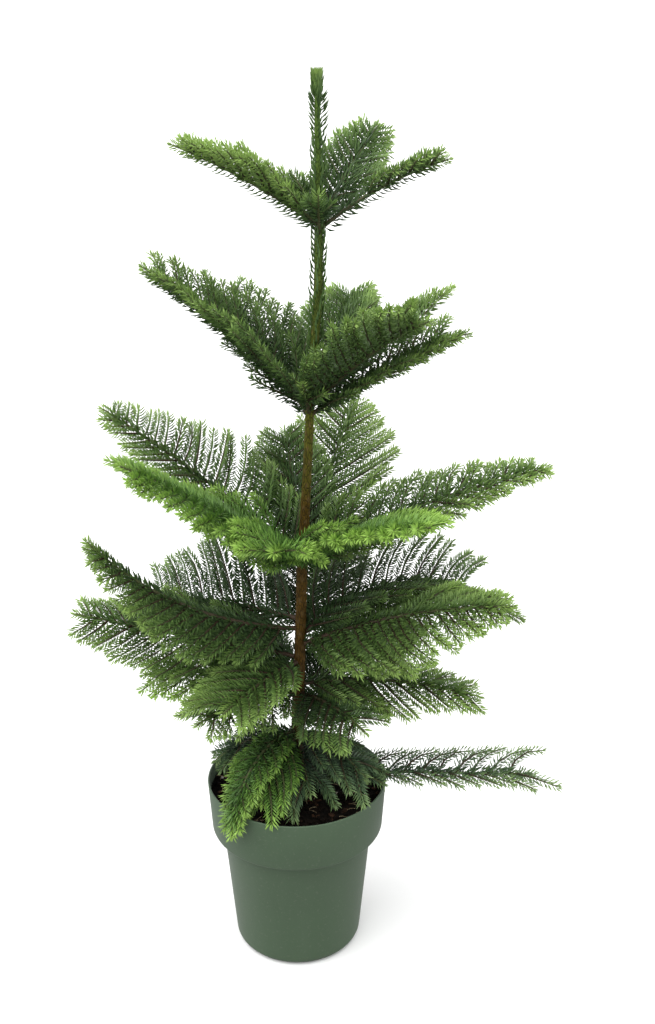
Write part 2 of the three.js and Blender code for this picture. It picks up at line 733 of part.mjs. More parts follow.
const whorls = new Map();
for (const { frond, solid } of buildFronds([potSolid, soilSolid, trunkSolid], trunkTool)) {
  if (!whorls.has(frond.node)) {
    const whorl = new THREE.Group();
    whorl.position.fromArray(frond.root);
    whorls.set(frond.node, whorl);
    plant.add(whorl);
  }
  const mesh = meshFromSolid(frond.name, solid, frond.colour, NEEDLE_ROUGHNESS);
  mesh.rotation.z = rad(frond.heading);
  whorls.get(frond.node).add(mesh);
}

export default plant;
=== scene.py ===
import json
import math
import random

import bmesh
import bpy
from mathutils import Matrix, Vector, kdtree, noise
from mathutils.bvhtree import BVHTree


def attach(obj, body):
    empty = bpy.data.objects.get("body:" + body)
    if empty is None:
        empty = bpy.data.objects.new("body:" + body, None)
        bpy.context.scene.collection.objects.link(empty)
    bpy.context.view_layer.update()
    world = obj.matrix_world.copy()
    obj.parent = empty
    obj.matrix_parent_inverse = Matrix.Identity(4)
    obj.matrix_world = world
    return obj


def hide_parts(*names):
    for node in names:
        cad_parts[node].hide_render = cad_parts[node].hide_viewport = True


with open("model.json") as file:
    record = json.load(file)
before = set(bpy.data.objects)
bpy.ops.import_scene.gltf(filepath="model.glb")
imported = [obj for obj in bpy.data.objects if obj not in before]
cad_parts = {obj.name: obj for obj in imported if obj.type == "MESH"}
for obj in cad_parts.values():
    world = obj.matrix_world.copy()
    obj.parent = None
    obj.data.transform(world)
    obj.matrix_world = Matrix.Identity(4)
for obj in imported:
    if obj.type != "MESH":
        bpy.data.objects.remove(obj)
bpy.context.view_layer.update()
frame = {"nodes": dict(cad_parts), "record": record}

# A young Norfolk Island pine in a plastic nursery pot.
# Sizes are in millimetres, and MM turns them into metres. Materials and studio are in metres.
# Headings are degrees about +Z, and 0 is +X. The origin is the centre of the pot's underside.
MM = 0.001
UP = Vector((0, 0, 1))
RIGHT = Vector((1, 0, 0))
slot_of = {row["node"]: row["material_slot"] for row in frame["record"]["subparts"]}

# Camera, at the height and distance from which the pot's ellipses are seen as in the photograph
IMAGE_HEIGHT = 1024
FOCAL_PIXELS = 1220
CAMERA_PLACE = Vector((29.1, -1007.3, 814.5))
CAMERA_PITCH = 20.29
SENSOR = 36


def new_object(name, data):
    """An object that is linked into the scene"""
    made = bpy.data.objects.new(name, data)
    bpy.context.scene.collection.objects.link(made)
    return made


def make_camera():
    data = bpy.data.cameras.new("photo_camera")
    data.sensor_width = SENSOR
    data.lens = FOCAL_PIXELS * SENSOR / IMAGE_HEIGHT
    camera = new_object("photo_camera", data)
    camera.location = CAMERA_PLACE * MM
    camera.rotation_euler = (math.radians(90 - CAMERA_PITCH), 0, 0)
    bpy.context.scene.camera = camera


make_camera()

# The pot
RIM_RADIUS = 85
POT_HEIGHT = 174
POT_WALL = 1.8
COLLAR_HEIGHT = 50
COLLAR_LOW_RADIUS = 81.8
COLLAR_LEDGE = 1.2
BODY_TOP_RADIUS = 71.5
FOOT_RADIUS = 52
FOOT_ROUNDING = 9
FOOT_TURN = 85
DRAIN_COUNT = 6
DRAIN_SIZE = (24, 6, 5.2)
DRAIN_CENTRE = 60
DRAIN_HEADING = 277

# The potting soil
SOIL_EDGE_HEIGHT = 161
SOIL_MOUND = 7
SEAT = 0.3

# The trunk: height, sideways offset and radius of its bark
TRUNK_LINE = [
    (118, -0.5, 6.4),
    (222, 0.5, 5.8),
    (312, 4, 5.1),
    (394, 6.5, 4.6),
    (490, 12, 3.9),
    (533, 14, 3.7),
    (637, 21.5, 3.8),
    (700, 22.3, 3.0),
    (805, 20.6, 2.1),
]
SPINY_FROM = 545
BUD_START = 786

# The whorls of fronds from the top down. Each frond has the height of its node on the trunk,
# its heading, its length, the angles at which it rises at its root and at its tip, and the radius
# of its stem. Its roll turns its flat side. Its youth value makes it a brighter or a darker green:
# partly the lighter green of young growth, and partly painted light and shade, set frond by frond
# so that fronds standing in the light, like those of the top tier, are brighter and fronds standing
# in shade are darker. Its wood makes its stems browner. Its shoots may have their own length, fold,
# spread, sag, pitch along the stem, first place on it, share of their length at the tip, and kind.
TIERS = [
    dict(name="tier1", shoot=40, fold=22, sag=0, stem=1.9, youth=0.1, wood=0.3, kind="airy",
         pitch=9, fronds=[
        dict(side="left", node=689, heading=184, length=139, rise=36, end=21, fold=30, shoot=46,
             tip=0.12, youth=0.42),
        dict(side="right", node=686, heading=352, length=125, rise=40, end=16, roll=-4, fold=36,
             shoot=19, first=50, tip=0.8),
        dict(side="back", node=691, heading=65, length=147, rise=36, end=24, roll=24, fold=4,
             shoot=37, spread=44, tip=0.36, kind="open", youth=0.05),
        dict(side="back_left", node=684, heading=108, length=68, rise=48, end=32, shoot=30,
             kind="open", youth=0.0),
        dict(side="front", node=680, heading=270, length=50, rise=60, end=52, shoot=16, kind="open",
             pitch=14, youth=-0.1),
    ]),
    dict(name="tier2", shoot=54, fold=22, sag=0, stem=2.1, youth=0.05, wood=0.5, kind="airy",
         pitch=8.5, fronds=[
        dict(side="left", node=533, heading=174, length=189, rise=47, end=33, roll=-4, fold=28,
             shoot=65, tip=0.3),
        dict(side="back_left", node=528, heading=132, length=158, rise=44, end=30, shoot=58,
             youth=-0.05),
        dict(side="back", node=536, heading=78, length=221, rise=24, end=10, kind="open", pitch=10),
        dict(side="right", node=530, heading=4, length=152, rise=35, end=21, roll=14),
        dict(side="front_right", node=536, heading=324, length=154, rise=48, end=26, roll=2,
             fold=28, shoot=64, tip=0.65, pitch=7.5, youth=0.12),
        dict(side="front", node=530, heading=258, length=50, rise=56, end=48, shoot=22, pitch=12),
    ]),
    dict(name="tier3", shoot=62, fold=14, sag=0.02, stem=2.3, youth=0.05, wood=1, fronds=[
        dict(side="back_left", node=397, heading=154, length=244, rise=34, end=23, roll=-18,
             pitch=11.5, spread=60, tip=0.12, youth=0.12),
        dict(side="front_left", node=391, heading=204, length=204, rise=41, end=30, roll=-5,
             fold=-8, spread=56, pitch=9, kind="bushy", youth=0.22, wood=0.3),
        dict(side="back_centre", node=403, heading=98, length=168, rise=33, end=20, shoot=50,
             youth=0.0),
        dict(side="back", node=391, heading=76, length=236, rise=33, end=17, shoot=80, tip=0.1,
             pitch=13, youth=0.25),
        dict(side="right", node=397, heading=14, length=249, rise=25, end=7, roll=14, shoot=50,
             fold=10, tip=0.2, kind="bushy", youth=0.18),
        dict(side="front_right", node=391, heading=312, length=183, rise=38, end=16, fold=4,
             pitch=9, kind="bushy", youth=0.25, wood=0.3),
        dict(side="front", node=397, heading=258, length=120, rise=34, end=14, fold=6, pitch=9,
             kind="bushy", youth=0.2, wood=0.3),
    ]),
    dict(name="tier4", shoot=60, fold=14, sag=0.06, stem=2.4, youth=-0.05, wood=1, fronds=[
        dict(side="back_left", node=338, heading=142, length=202, rise=-3, end=-15, roll=-24,
             fold=24, shoot=98, tip=0.3, pitch=13.5, youth=-0.15),
        dict(side="front_left", node=329, heading=190, length=222, rise=5, end=52, fold=-34,
             shoot=56, tip=0.1, kind="bushy", youth=0.08),
        dict(side="low_left", node=300, heading=172, length=221, rise=7, end=9, roll=-24, fold=-5,
             shoot=64, tip=0.26, pitch=11.5, youth=0.1),
        dict(side="back_right", node=320, heading=22, length=198, rise=44, end=-40, roll=14,
             pitch=15, shoot=64, fold=26, tip=1.1, youth=-0.08),
        dict(side="front_right", node=312, heading=338, length=216, rise=31, end=9, roll=22,
             fold=-14, shoot=72, tip=0.08, pitch=9, kind="bushy", youth=0.26),
        dict(side="back", node=311, heading=80, length=195, rise=26, end=6, youth=-0.15),
        dict(side="front", node=296, heading=234, length=116, rise=6, end=-14, shoot=58,
             spread=42, tip=0.7, youth=0.15),
    ]),
    dict(name="tier5", shoot=54, fold=8, sag=0.2, stem=2.3, youth=0.05, wood=0.8, fronds=[
        dict(side="left", node=272, heading=180, length=152, rise=16, end=-10, roll=-12, shoot=55,
             kind="airy", pitch=9, youth=0.42),
        dict(side="front_left", node=263, heading=222, length=126, rise=24, end=-16, roll=-6,
             kind="airy", pitch=9.5),
        dict(side="right", node=272, heading=358, length=176, rise=10, end=-18, roll=6, pitch=13,
             youth=0.24),
        dict(side="back_right", node=266, heading=48, length=175, rise=18, end=-12, pitch=10,
             youth=-0.05),
        dict(side="front_right", node=263, heading=312, length=98, rise=14, end=-20, roll=12,
             youth=-0.05),
        dict(side="back_left", node=268, heading=130, length=170, rise=18, end=-8, youth=-0.1),
    ]),
    dict(name="tier6", shoot=40, fold=4, sag=0.25, stem=2.0, youth=0.0, wood=0.8, fronds=[
        dict(side="long_right", node=180, heading=351, length=229, rise=4, end=5, roll=6, shoot=35,
             pitch=16.5, fold=16, sag=0.02, spread=42, tip=1.3, kind="curled", youth=0.22),
        dict(side="front_left", node=224, heading=232, length=141, rise=18, end=-94, shoot=27,
             kind="bushy", youth=0.12, wood=0.2),
        dict(side="front", node=217, heading=246, length=92, rise=11, end=-64, shoot=44, spread=34,
             tip=0.8, youth=0.05, wood=0.2),
        dict(side="front_middle", node=212, heading=284, length=66, rise=-8, end=-50, pitch=18,
             shoot=42, spread=32, tip=0.8),
        dict(side="front_right", node=219, heading=328, length=88, rise=8, end=-46, pitch=18,
             shoot=42, spread=40, tip=0.8),
        dict(side="left", node=219, heading=186, length=90, rise=8, end=-46, shoot=36),
        dict(side="back", node=222, heading=60, length=122, rise=22, end=-25),
    ]),
]
USUAL = dict(roll=0, pitch=11, spread=50, tip=0.34, first=13, kind="open")
LAST_SHOOT = 22
SHORTEST_SHOOT = 13
STEM_TAPER = 0.62

# The outline of a frond: its shoots grow longer from ROOT_SHARE on, and shorter after TAPER_START
ROOT_SHARE = 0.72
SWELL = 1.1
TAPER_START = 0.38

# Needles stand one after the other in a spiral, which makes five rows on open and curled shoots.
# Their radii, belly and curve are shares of their length, and NEEDLE_TIP is one of the radius.
NEEDLE_LENGTH = 10.4
NEEDLE_RADIUS = 0.082
NEEDLE_TIP = 0.05
NEEDLE_BELLY = 0.5
NEEDLE_CURVE = 0.14
HOOK_LENGTH = 11.5
HOOK_RADIUS = 0.1
HOOK_CURVE = 0.5
ROW_TURN = 144
GOLDEN_TURN = 137.5


# Shader nodes

def new_group(name, inputs, outputs):
    """A shader node group with named sockets, and its input and output nodes"""
    group = bpy.data.node_groups.new(name, "ShaderNodeTree")
    for label, kind, value in inputs:
        socket = group.interface.new_socket(label, in_out="INPUT", socket_type=kind)
        socket.default_value = value
    for label, kind in outputs:
        group.interface.new_socket(label, in_out="OUTPUT", socket_type=kind)
    return group, group.nodes.new("NodeGroupInput"), group.nodes.new("NodeGroupOutput")


def add_node(tree, kind, settings=None, **inputs):
    """A node with its settings and its input values or links"""
    node = tree.nodes.new(kind)
    for key, value in (settings or {}).items():
        setattr(node, key, value)
    for key, value in inputs.items():
        socket = find_input(node, key)
        if isinstance(value, bpy.types.NodeSocket):
            tree.links.new(value, socket)
        else:
            socket.default_value = value
    return node


def find_input(node, key):
    """An input by its name in lower case, or by its number as in _1"""
    if key.startswith("_"):
        return node.inputs[int(key[1:])]
    for socket in node.inputs:
        if socket.name.lower().replace(" ", "_") == key and socket.enabled:
            return socket
    raise KeyError(key)


def math_node(tree, operation, a, b, clamp=False):
    node = add_node(tree, "ShaderNodeMath", {"operation": operation, "use_clamp": clamp}, _0=a, _1=b)
    return node.outputs[0]


def mix_colour(tree, share, a, b, blend="MIX"):
    node = add_node(tree, "ShaderNodeMix", {"data_type": "RGBA", "blend_type": blend},
                    _0=share, _6=a, _7=b)
    return node.outputs[2]


def ramp(tree, value, *stops):
    """A colour ramp with stops of place and colour"""
    node = add_node(tree, "ShaderNodeValToRGB", _0=value)
    elements = node.color_ramp.elements
    for element, (place, colour) in zip(elements, (stops[0], stops[-1])):
        element.position = place
        element.color = colour
    for place, colour in stops[1:-1]:
        elements.new(place).color = colour
    return node.outputs[0]


def share_between(tree, value, low, high, most=1.0):
    """Where a value lies between two others, from 0 to a most"""
    node = add_node(tree, "ShaderNodeMapRange", value=value, from_min=low, from_max=high, to_max=most)
    return node.outputs[0]


def object_place(tree):
    return add_node(tree, "ShaderNodeTexCoord").outputs["Object"]


def clouds(tree, place, scale, detail):
    """Soft noise about NOISE_MEAN"""
    node = add_node(tree, "ShaderNodeTexNoise", vector=place, scale=scale, detail=detail)
    return node.outputs["Fac"]


def grey(value):
    return (value, value, value, 1)


def srgb(red, green, blue):
    """A colour given as 8-bit screen values, for a socket"""
    def linear(value):
        value /= 255
        return value / 12.92 if value <= 0.04045 else ((value + 0.055) / 1.055) ** 2.4
    return (linear(red), linear(green), linear(blue), 1)


NOISE_MEAN = 0.5
FINE_GRAIN = 6.0
FINE_WEIGHT = 0.5


def make_mottle_group():
    """Soft uneven patches of lighter and darker colour, at two scales"""
    group, entry, leave = new_group(
        "mottle",
        [("Colour", "NodeSocketColor", grey(0.5)), ("Scale", "NodeSocketFloat", 20.0),
         ("Amount", "NodeSocketFloat", 0.2)],
        [("Colour", "NodeSocketColor"), ("Mask", "NodeSocketFloat")])
    place = object_place(group)
    scale = entry.outputs["Scale"]
    wide = clouds(group, place, scale, detail=4.0)
    fine = clouds(group, place, math_node(group, "MULTIPLY", scale, FINE_GRAIN), detail=3.0)
    both = math_node(group, "ADD", wide, math_node(group, "MULTIPLY", fine, FINE_WEIGHT))
    centred = math_node(group, "SUBTRACT", both, NOISE_MEAN * (1 + FINE_WEIGHT))
    strength = math_node(group, "MULTIPLY", centred, entry.outputs["Amount"])
    value = math_node(group, "ADD", math_node(group, "MULTIPLY", strength, 2.0), 1.0)
    tinted = add_node(group, "ShaderNodeHueSaturation", value=value, color=entry.outputs["Colour"])
    mask = math_node(group, "SUBTRACT", both, NOISE_MEAN * FINE_WEIGHT, clamp=True)
    group.links.new(tinted.outputs[0], leave.inputs["Colour"])
    group.links.new(mask, leave.inputs["Mask"])
    return group


MOTTLE = make_mottle_group()


def mottled(tree, colour, scale, amount):
    """A colour made patchy, and the mask of its patches"""
    node = add_node(tree, "ShaderNodeGroup", {"node_tree": MOTTLE},
                    colour=colour, scale=scale, amount=amount)
    return node.outputs["Colour"], node.outputs["Mask"]


# Materials

def new_material(name, **values):
    """A material, its node tree and its shader, with the values of some of the shader's inputs"""
    material = bpy.data.materials.new(name)
    material.use_nodes = True
    tree = material.node_tree
    shader = tree.nodes["Principled BSDF"]
    for key, value in values.items():
        find_input(shader, key).default_value = value
    return material, tree, shader


def attribute(tree, name):
    return add_node(tree, "ShaderNodeAttribute", {"attribute_name": name}).outputs["Fac"]


def set_colour(tree, shader, colour):
    tree.links.new(colour, shader.inputs["Base Color"])


def set_roughness(tree, shader, mask, least, spread):
    """Roughness that grows with a mask"""
    rough = math_node(tree, "ADD", math_node(tree, "MULTIPLY", mask, spread), least)
    tree.links.new(rough, shader.inputs["Roughness"])


def set_bump(tree, shader, height, strength, distance):
    bump = add_node(tree, "ShaderNodeBump", strength=strength, distance=distance, height=height)
    tree.links.new(bump.outputs[0], shader.inputs["Normal"])


# What a needle's own tone and the place along it add to its youth value, which carries both the
# green of young growth and painted light and shade, and what is then taken off
TONE_SHARE = 0.24
NEEDLE_SHARE = 0.16
YOUTH_SHIFT = 0.2


def needle_material(name, shade, middle, bright):
    """Needles: dark and bluish where old, yellow-green at the tips of shoots and fronds, and lighter or
    darker frond by frond as painted light and shade
    """
    material, tree, shader = new_material(name, specular_ior_level=0.4)
    tone = math_node(tree, "MULTIPLY", attribute(tree, "tone"), TONE_SHARE)
    needle_share = math_node(tree, "MULTIPLY", attribute(tree, "along_needle"), NEEDLE_SHARE)
    # The youth attribute holds the green of young growth together with painted light and shade, set
    # frond by frond
    youth = math_node(tree, "ADD", attribute(tree, "youth"), math_node(tree, "ADD", tone, needle_share))
    youth = math_node(tree, "SUBTRACT", youth, YOUTH_SHIFT, clamp=True)
    colour = ramp(tree, youth, (0.12, shade), (0.5, middle), (0.95, bright))
    patchy, mask = mottled(tree, colour, scale=35.0, amount=0.35)
    set_colour(tree, shader, patchy)
    set_roughness(tree, shader, mask, least=0.36, spread=0.3)
    return material


NEEDLES = {
    "foliage": needle_material(
        "needles_green", srgb(48, 72, 36), srgb(88, 117, 56), srgb(142, 172, 88)),
    "young_foliage": needle_material(
        "needles_young", srgb(46, 76, 34), srgb(90, 128, 54), srgb(146, 182, 82)),
    "shaded_foliage": needle_material(
        "needles_shaded", srgb(42, 60, 44), srgb(76, 102, 68), srgb(126, 152, 92)),
}


def stem_material():
    """Stems: dark brown and woody near the trunk, brown-green further out"""
    material, tree, shader = new_material("frond_stems", roughness=0.7)
    colour = ramp(tree, attribute(tree, "woody"), (0.0, srgb(74, 84, 42)), (0.3, srgb(62, 56, 34)),
                  (1.0, srgb(66, 46, 32)))
    patchy, mask = mottled(tree, colour, scale=160.0, amount=0.5)
    set_colour(tree, shader, patchy)
    set_bump(tree, shader, mask, strength=0.5, distance=0.0006)
    return material


# The heights between which the bark's colours change, and how far up and down their edges wander
BARK_FROM = 160
BARK_TO = 800
BARK_WANDER = 160


def bark_material():
    """Bark: red-brown and flaky below, olive and then green towards the bud"""
    material, tree, shader = new_material("trunk_bark", specular_ior_level=0.2)
    place = object_place(tree)
    height = add_node(tree, "ShaderNodeSeparateXYZ", vector=place).outputs["Z"]
    ragged = math_node(tree, "SUBTRACT", clouds(tree, place, 18.0, detail=5.0), NOISE_MEAN)
    shifted = math_node(tree, "ADD", height, math_node(tree, "MULTIPLY", ragged, BARK_WANDER * MM))
    colour = ramp(
        tree, share_between(tree, shifted, BARK_FROM * MM, BARK_TO * MM),
        (0.0, srgb(70, 60, 36)), (0.2, srgb(80, 57, 16)), (0.45, srgb(77, 59, 8)),
        (0.6, srgb(80, 84, 22)), (0.8, srgb(80, 100, 40)), (1.0, srgb(92, 122, 52)))
    stretch = add_node(tree, "ShaderNodeMapping", vector=place, scale=(1.0, 1.0, 0.3))
    flakes = add_node(tree, "ShaderNodeTexVoronoi", {"feature": "DISTANCE_TO_EDGE"},
                      vector=stretch.outputs[0], scale=520.0)
    crack = share_between(tree, flakes.outputs["Distance"], 0.0, 0.12)
    dark = mix_colour(tree, 1.0, colour, grey(0.4), "MULTIPLY")
    cracked = mix_colour(tree, crack, dark, colour)
    scarred = mix_colour(tree, attribute(tree, "scar"), cracked, srgb(104, 84, 54))
    patchy, mask = mottled(tree, scarred, scale=90.0, amount=0.6)
    set_colour(tree, shader, patchy)
    set_roughness(tree, shader, mask, least=0.6, spread=0.3)
    set_bump(tree, shader, math_node(tree, "ADD", crack, mask), strength=0.6, distance=0.0008)
    return material


def pot_material():
    """Moulded plastic: matte grey-green, with faint flow marks and dust"""
    material, tree, shader = new_material("pot_plastic", sheen_weight=0.12, sheen_roughness=0.4)
    place = object_place(tree)
    patchy, mask = mottled(tree, srgb(66, 87, 63), scale=9.0, amount=0.12)
    flow = add_node(tree, "ShaderNodeMapping", vector=place, scale=(60.0, 60.0, 4.0))
    streaks = clouds(tree, flow.outputs[0], 1.0, detail=3.0)
    streaked = mix_colour(
        tree, share_between(tree, streaks, 0.4, 0.8, most=0.16), patchy, srgb(82, 98, 80))
    dust = clouds(tree, place, 420.0, detail=2.0)
    dusty = mix_colour(
        tree, share_between(tree, dust, 0.6, 0.75, most=0.3), streaked, srgb(104, 112, 96))
    set_colour(tree, shader, dusty)
    set_roughness(tree, shader, mask, least=0.42, spread=0.2)
    set_bump(tree, shader, clouds(tree, place, 1400.0, detail=2.0), strength=0.25, distance=0.0002)
    return material


# The patches of crumbly stuff are wider than its spots
CRUMB_PATCHES = 0.3


def crumb_material(name, dark, light, scale):
    """Matte crumbly stuff: peat, bark chips, fibres and perlite"""
    material, tree, shader = new_material(name, roughness=0.95, specular_ior_level=0.1)
    spots = clouds(tree, object_place(tree), scale, detail=8.0)
    colour = ramp(tree, spots, (0.35, dark), (0.7, light))
    patchy, _ = mottled(tree, colour, scale=scale * CRUMB_PATCHES, amount=0.5)
    set_colour(tree, shader, patchy)
    set_bump(tree, shader, spots, strength=0.8, distance=0.0012)
    return material


STEM = stem_material()
BARK = bark_material()
PLASTIC = pot_material()
PEAT = crumb_material("peat", srgb(5, 4, 2), srgb(23, 17, 12), scale=260.0)
CHIPS = crumb_material("bark_chips", srgb(24, 16, 11), srgb(70, 49, 35), scale=180.0)
FIBRES = crumb_material("peat_fibres", srgb(82, 70, 52), srgb(160, 144, 116), scale=300.0)
PERLITE = crumb_material("perlite", srgb(168, 164, 154), srgb(226, 224, 216), scale=240.0)


# Shapes

def placing(place, along, towards):
    """The matrix that takes the origin to a place, +Z to a direction and +X towards another"""
    z = along.normalized()
    x = (towards - z * towards.dot(z)).normalized()
    y = z.cross(x)
    return Matrix.Translation(place) @ Matrix((x, y, z)).transposed().to_4x4()


def stray(draw, most):
    return draw.uniform(-most, most)


LAYERS = ("along_needle", "youth", "tone", "woody", "scar")


def new_bmesh():
    bm = bmesh.new()
    for name in LAYERS:
        bm.verts.layers.float.new(name)
    return bm


def set_layer(verts, bm, name, value):
    layer = bm.verts.layers.float[name]
    for vert in verts:
        vert[layer] = value


def add_copy(bm, mesh, matrix):
    """Adds a copy of a mesh at a place, and returns its vertices"""
    count = len(bm.verts)
    bm.from_mesh(mesh)
    bm.verts.ensure_lookup_table()
    verts = bm.verts[count:]
    bmesh.ops.transform(bm, matrix=matrix, verts=verts)
    return verts


def to_metres(bm):
    bmesh.ops.transform(bm, matrix=Matrix.Scale(MM, 4), verts=bm.verts)


def smooth_faces(faces):
    for face in faces:
        face.smooth = True


def to_mesh(bm, name):
    mesh = bpy.data.meshes.new(name)
    bm.to_mesh(mesh)
    bm.free()
    return mesh


def add_piece(name, bm, materials, slot, *nodes):
    """Turns a body in millimetres into a piece of the plant, which may stand for CAD nodes"""
    to_metres(bm)
    mesh = to_mesh(bm, name)
    for material in materials:
        mesh.materials.append(material)
    piece = new_object(name, mesh)
    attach(piece, "root")
    if nodes:
        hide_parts(*nodes)
    return piece


def bent_rod(bm, length, root_radius, tip_radius, sides, rings, path):
    """A tapered rod whose axis follows a path: path(share of the length) gives a matrix"""
    first_vert, first_face = len(bm.verts), len(bm.faces)
    made = bmesh.ops.create_cone(
        bm, cap_ends=True, segments=sides, radius1=root_radius, radius2=tip_radius, depth=length)
    bmesh.ops.translate(bm, vec=(0, 0, length / 2), verts=made["verts"])
    bm.edges.ensure_lookup_table()
    walls = [e for e in bm.edges[-3 * sides:]
             if abs(e.verts[0].co.z - e.verts[1].co.z) > length / 2]
    bmesh.ops.subdivide_edges(bm, edges=walls, cuts=rings)
    bm.verts.ensure_lookup_table()
    bm.faces.ensure_lookup_table()
    verts, faces = bm.verts[first_vert:], bm.faces[first_face:]
    for vert in verts:
        share = vert.co.z / length
        vert.co = path(share) @ Vector((vert.co.x, vert.co.y, 0))
    for face in faces:
        face.material_index = 1
    smooth_faces(faces)
    return verts


# Needles and shoots

def make_needle(name, radius, curve):
    """One needle 1 mm long: a spindle that stands on the origin along +Z and curves towards +X"""
    bm = new_bmesh()
    bmesh.ops.create_cone(bm, cap_ends=True, segments=3, radius1=radius,
                          radius2=radius * NEEDLE_TIP, depth=1 - NEEDLE_BELLY)
    middle = (1 + NEEDLE_BELLY) / 2
    bmesh.ops.translate(bm, vec=(0, 0, middle), verts=bm.verts)
    top = [v for v in bm.verts if v.co.z > middle]
    bmesh.ops.pointmerge(bm, verts=top, merge_co=(0, 0, 1))
    base = [f for f in bm.faces if all(v.co.z < middle for v in f.verts)]
    root = bmesh.ops.poke(bm, faces=base)["verts"][0]
    root.co.z = 0
    layer = bm.verts.layers.float["along_needle"]
    for vert in bm.verts:
        share = vert.co.z
        vert[layer] = share
        vert.co.x += curve * share * share
    bmesh.ops.recalc_face_normals(bm, faces=bm.faces)
    return to_mesh(bm, name)


def add_needle(bm, needle, here, turn, foot, lean, length, tone, youth):
    """Sets a needle at a turn about a stem, its foot off the axis, leaning out from the growth"""
    turn, lean = math.radians(turn), math.radians(lean)
    along = here.col[2].to_3d()
    out = here.col[0].to_3d() * math.cos(turn) + here.col[1].to_3d() * math.sin(turn)
    direction = along * math.cos(lean) + out * math.sin(lean)
    matrix = placing(here.to_translation() + out * foot, direction, along)
    verts = add_copy(bm, needle, matrix @ Matrix.Scale(length, 4))
    set_layer(verts, bm, "tone", tone)
    set_layer(verts, bm, "youth", youth)


# The stem of a shoot
SHOOT_RADII = (1.2, 0.6)
SHOOT_RINGS = 2
SHOOT_SIDES = 4
SHOOT_CORE_VERTS = SHOOT_SIDES * (SHOOT_RINGS + 2)
SHOOT_WOOD = 0.9
SHOOT_LENGTHS = (14, 20, 27, 35, 44, 54, 64, 76)

# The needles on a shoot lean less towards its tip, and are longest a little way from its root.
# SHOOT_REACH and its like are the least and the most share of its length that a needle reaches.
SHOOT_LEAN = 62
LEAN_LOSS = 12
ROOT_REACH = 0.8
REACH_GAIN = 2
REACH_LOSS = 0.2
SHOOT_REACH = (0.92, 1.08)
NEEDLE_FOOT = 0.3
SHOOT_YOUTH = 0.5
TIP_NEEDLES = 7
TIP_PLACE = 0.99
TIP_LEAN = (6, 24)
TIP_REACH = 0.72

# Open shoots have clear rows of needles. The needles of airy and bushy ones stray all round, and
# curled shoots are more bent. The pitch is the distance from one needle to the next.
SHOOT_KINDS = {
    "open": dict(pitch=0.53, turn=ROW_TURN, reach=1.08, stray=5, bends=(10, 20, 32)),
    "airy": dict(pitch=0.5, turn=GOLDEN_TURN, reach=0.9, stray=14, bends=(10, 24, 40)),
    "bushy": dict(pitch=0.39, turn=GOLDEN_TURN, reach=0.98, stray=12, bends=(10, 24, 40)),
    "curled": dict(pitch=0.72, turn=ROW_TURN, reach=1.0, stray=6, bends=(36, 54, 76)),
}


def shoot_path(length, turn):
    """An arc from the origin to the point +Z at a length, which bulges to -X and comes back"""
    half = math.radians(turn) / 2
    radius = length / (2 * math.sin(half))

    def path(share):
        angle = half * (2 * share - 1)
        place = Vector((radius * (math.cos(half) - math.cos(angle)), 0,
                        length / 2 + radius * math.sin(angle)))
        along = Vector((math.sin(angle), 0, math.cos(angle)))
        return placing(place, along, RIGHT)

    return path


def make_shoot(needle, kind, length, bend, draw):
    """A shoot with its needles in a spiral, along +Z, in millimetres"""
    bm = new_bmesh()
    path = shoot_path(length, bend)
    core = bent_rod(bm, length, *SHOOT_RADII, SHOOT_SIDES, SHOOT_RINGS, path)
    woody = bm.verts.layers.float["woody"]
    for vert in core:
        vert[woody] = max(0, 1 - vert.co.z / (SHOOT_WOOD * length))
    count = int(length / kind["pitch"])
    start = draw.uniform(0, 360)
    for i in range(count + TIP_NEEDLES):
        at_tip = i >= count
        share = TIP_PLACE if at_tip else (i + 0.5) / count
        turn = start + i * kind["turn"] + 2 * stray(draw, kind["stray"])
        lean = draw.uniform(*TIP_LEAN) if at_tip else (
            SHOOT_LEAN - LEAN_LOSS * share + stray(draw, kind["stray"]))
        swell = min(1, ROOT_REACH + REACH_GAIN * share) * (1 - REACH_LOSS * share)
        reach = NEEDLE_LENGTH * kind["reach"] * swell * draw.uniform(*SHOOT_REACH)
        if at_tip:
            reach *= TIP_REACH
        add_needle(bm, needle, path(share), turn, NEEDLE_FOOT, lean, reach, draw.random(),
                   SHOOT_YOUTH * share * share)
    return to_mesh(bm, f"shoot_{length}")


def make_shoots(needle):
    draw = random.Random(5)
    return {(name, length, k): make_shoot(needle, kind, length, bend, draw)
            for name, kind in SHOOT_KINDS.items()
            for length in SHOOT_LENGTHS for k, bend in enumerate(kind["bends"])}


# The trunk's line

def trunk_at(z):
    """The trunk's centre and radius at a height"""
    above = next(i for i, knot in enumerate(TRUNK_LINE) if knot[0] >= z)
    low, high = TRUNK_LINE[max(above - 1, 0)], TRUNK_LINE[above]
    share = (z - low[0]) / (high[0] - low[0]) if above else 0
    x = low[1] + (high[1] - low[1]) * share
    return Vector((x, 0, z)), low[2] + (high[2] - low[2]) * share


# Planning the fronds: where every stem and shoot goes

def describe_fronds():
    fronds = []
    for tier in TIERS:
        for row in tier["fronds"]:
            frond = USUAL | {k: v for k, v in tier.items() if k != "fronds"} | row
            frond["node_name"] = f"{tier['name']}_{row['side']}_frond"
            root, _ = trunk_at(frond["node"])
            frond["world"] = Matrix.Translation(root) @ Matrix.Rotation(
                math.radians(frond["heading"]), 4, "Z")
            fronds.append(frond)
    return fronds


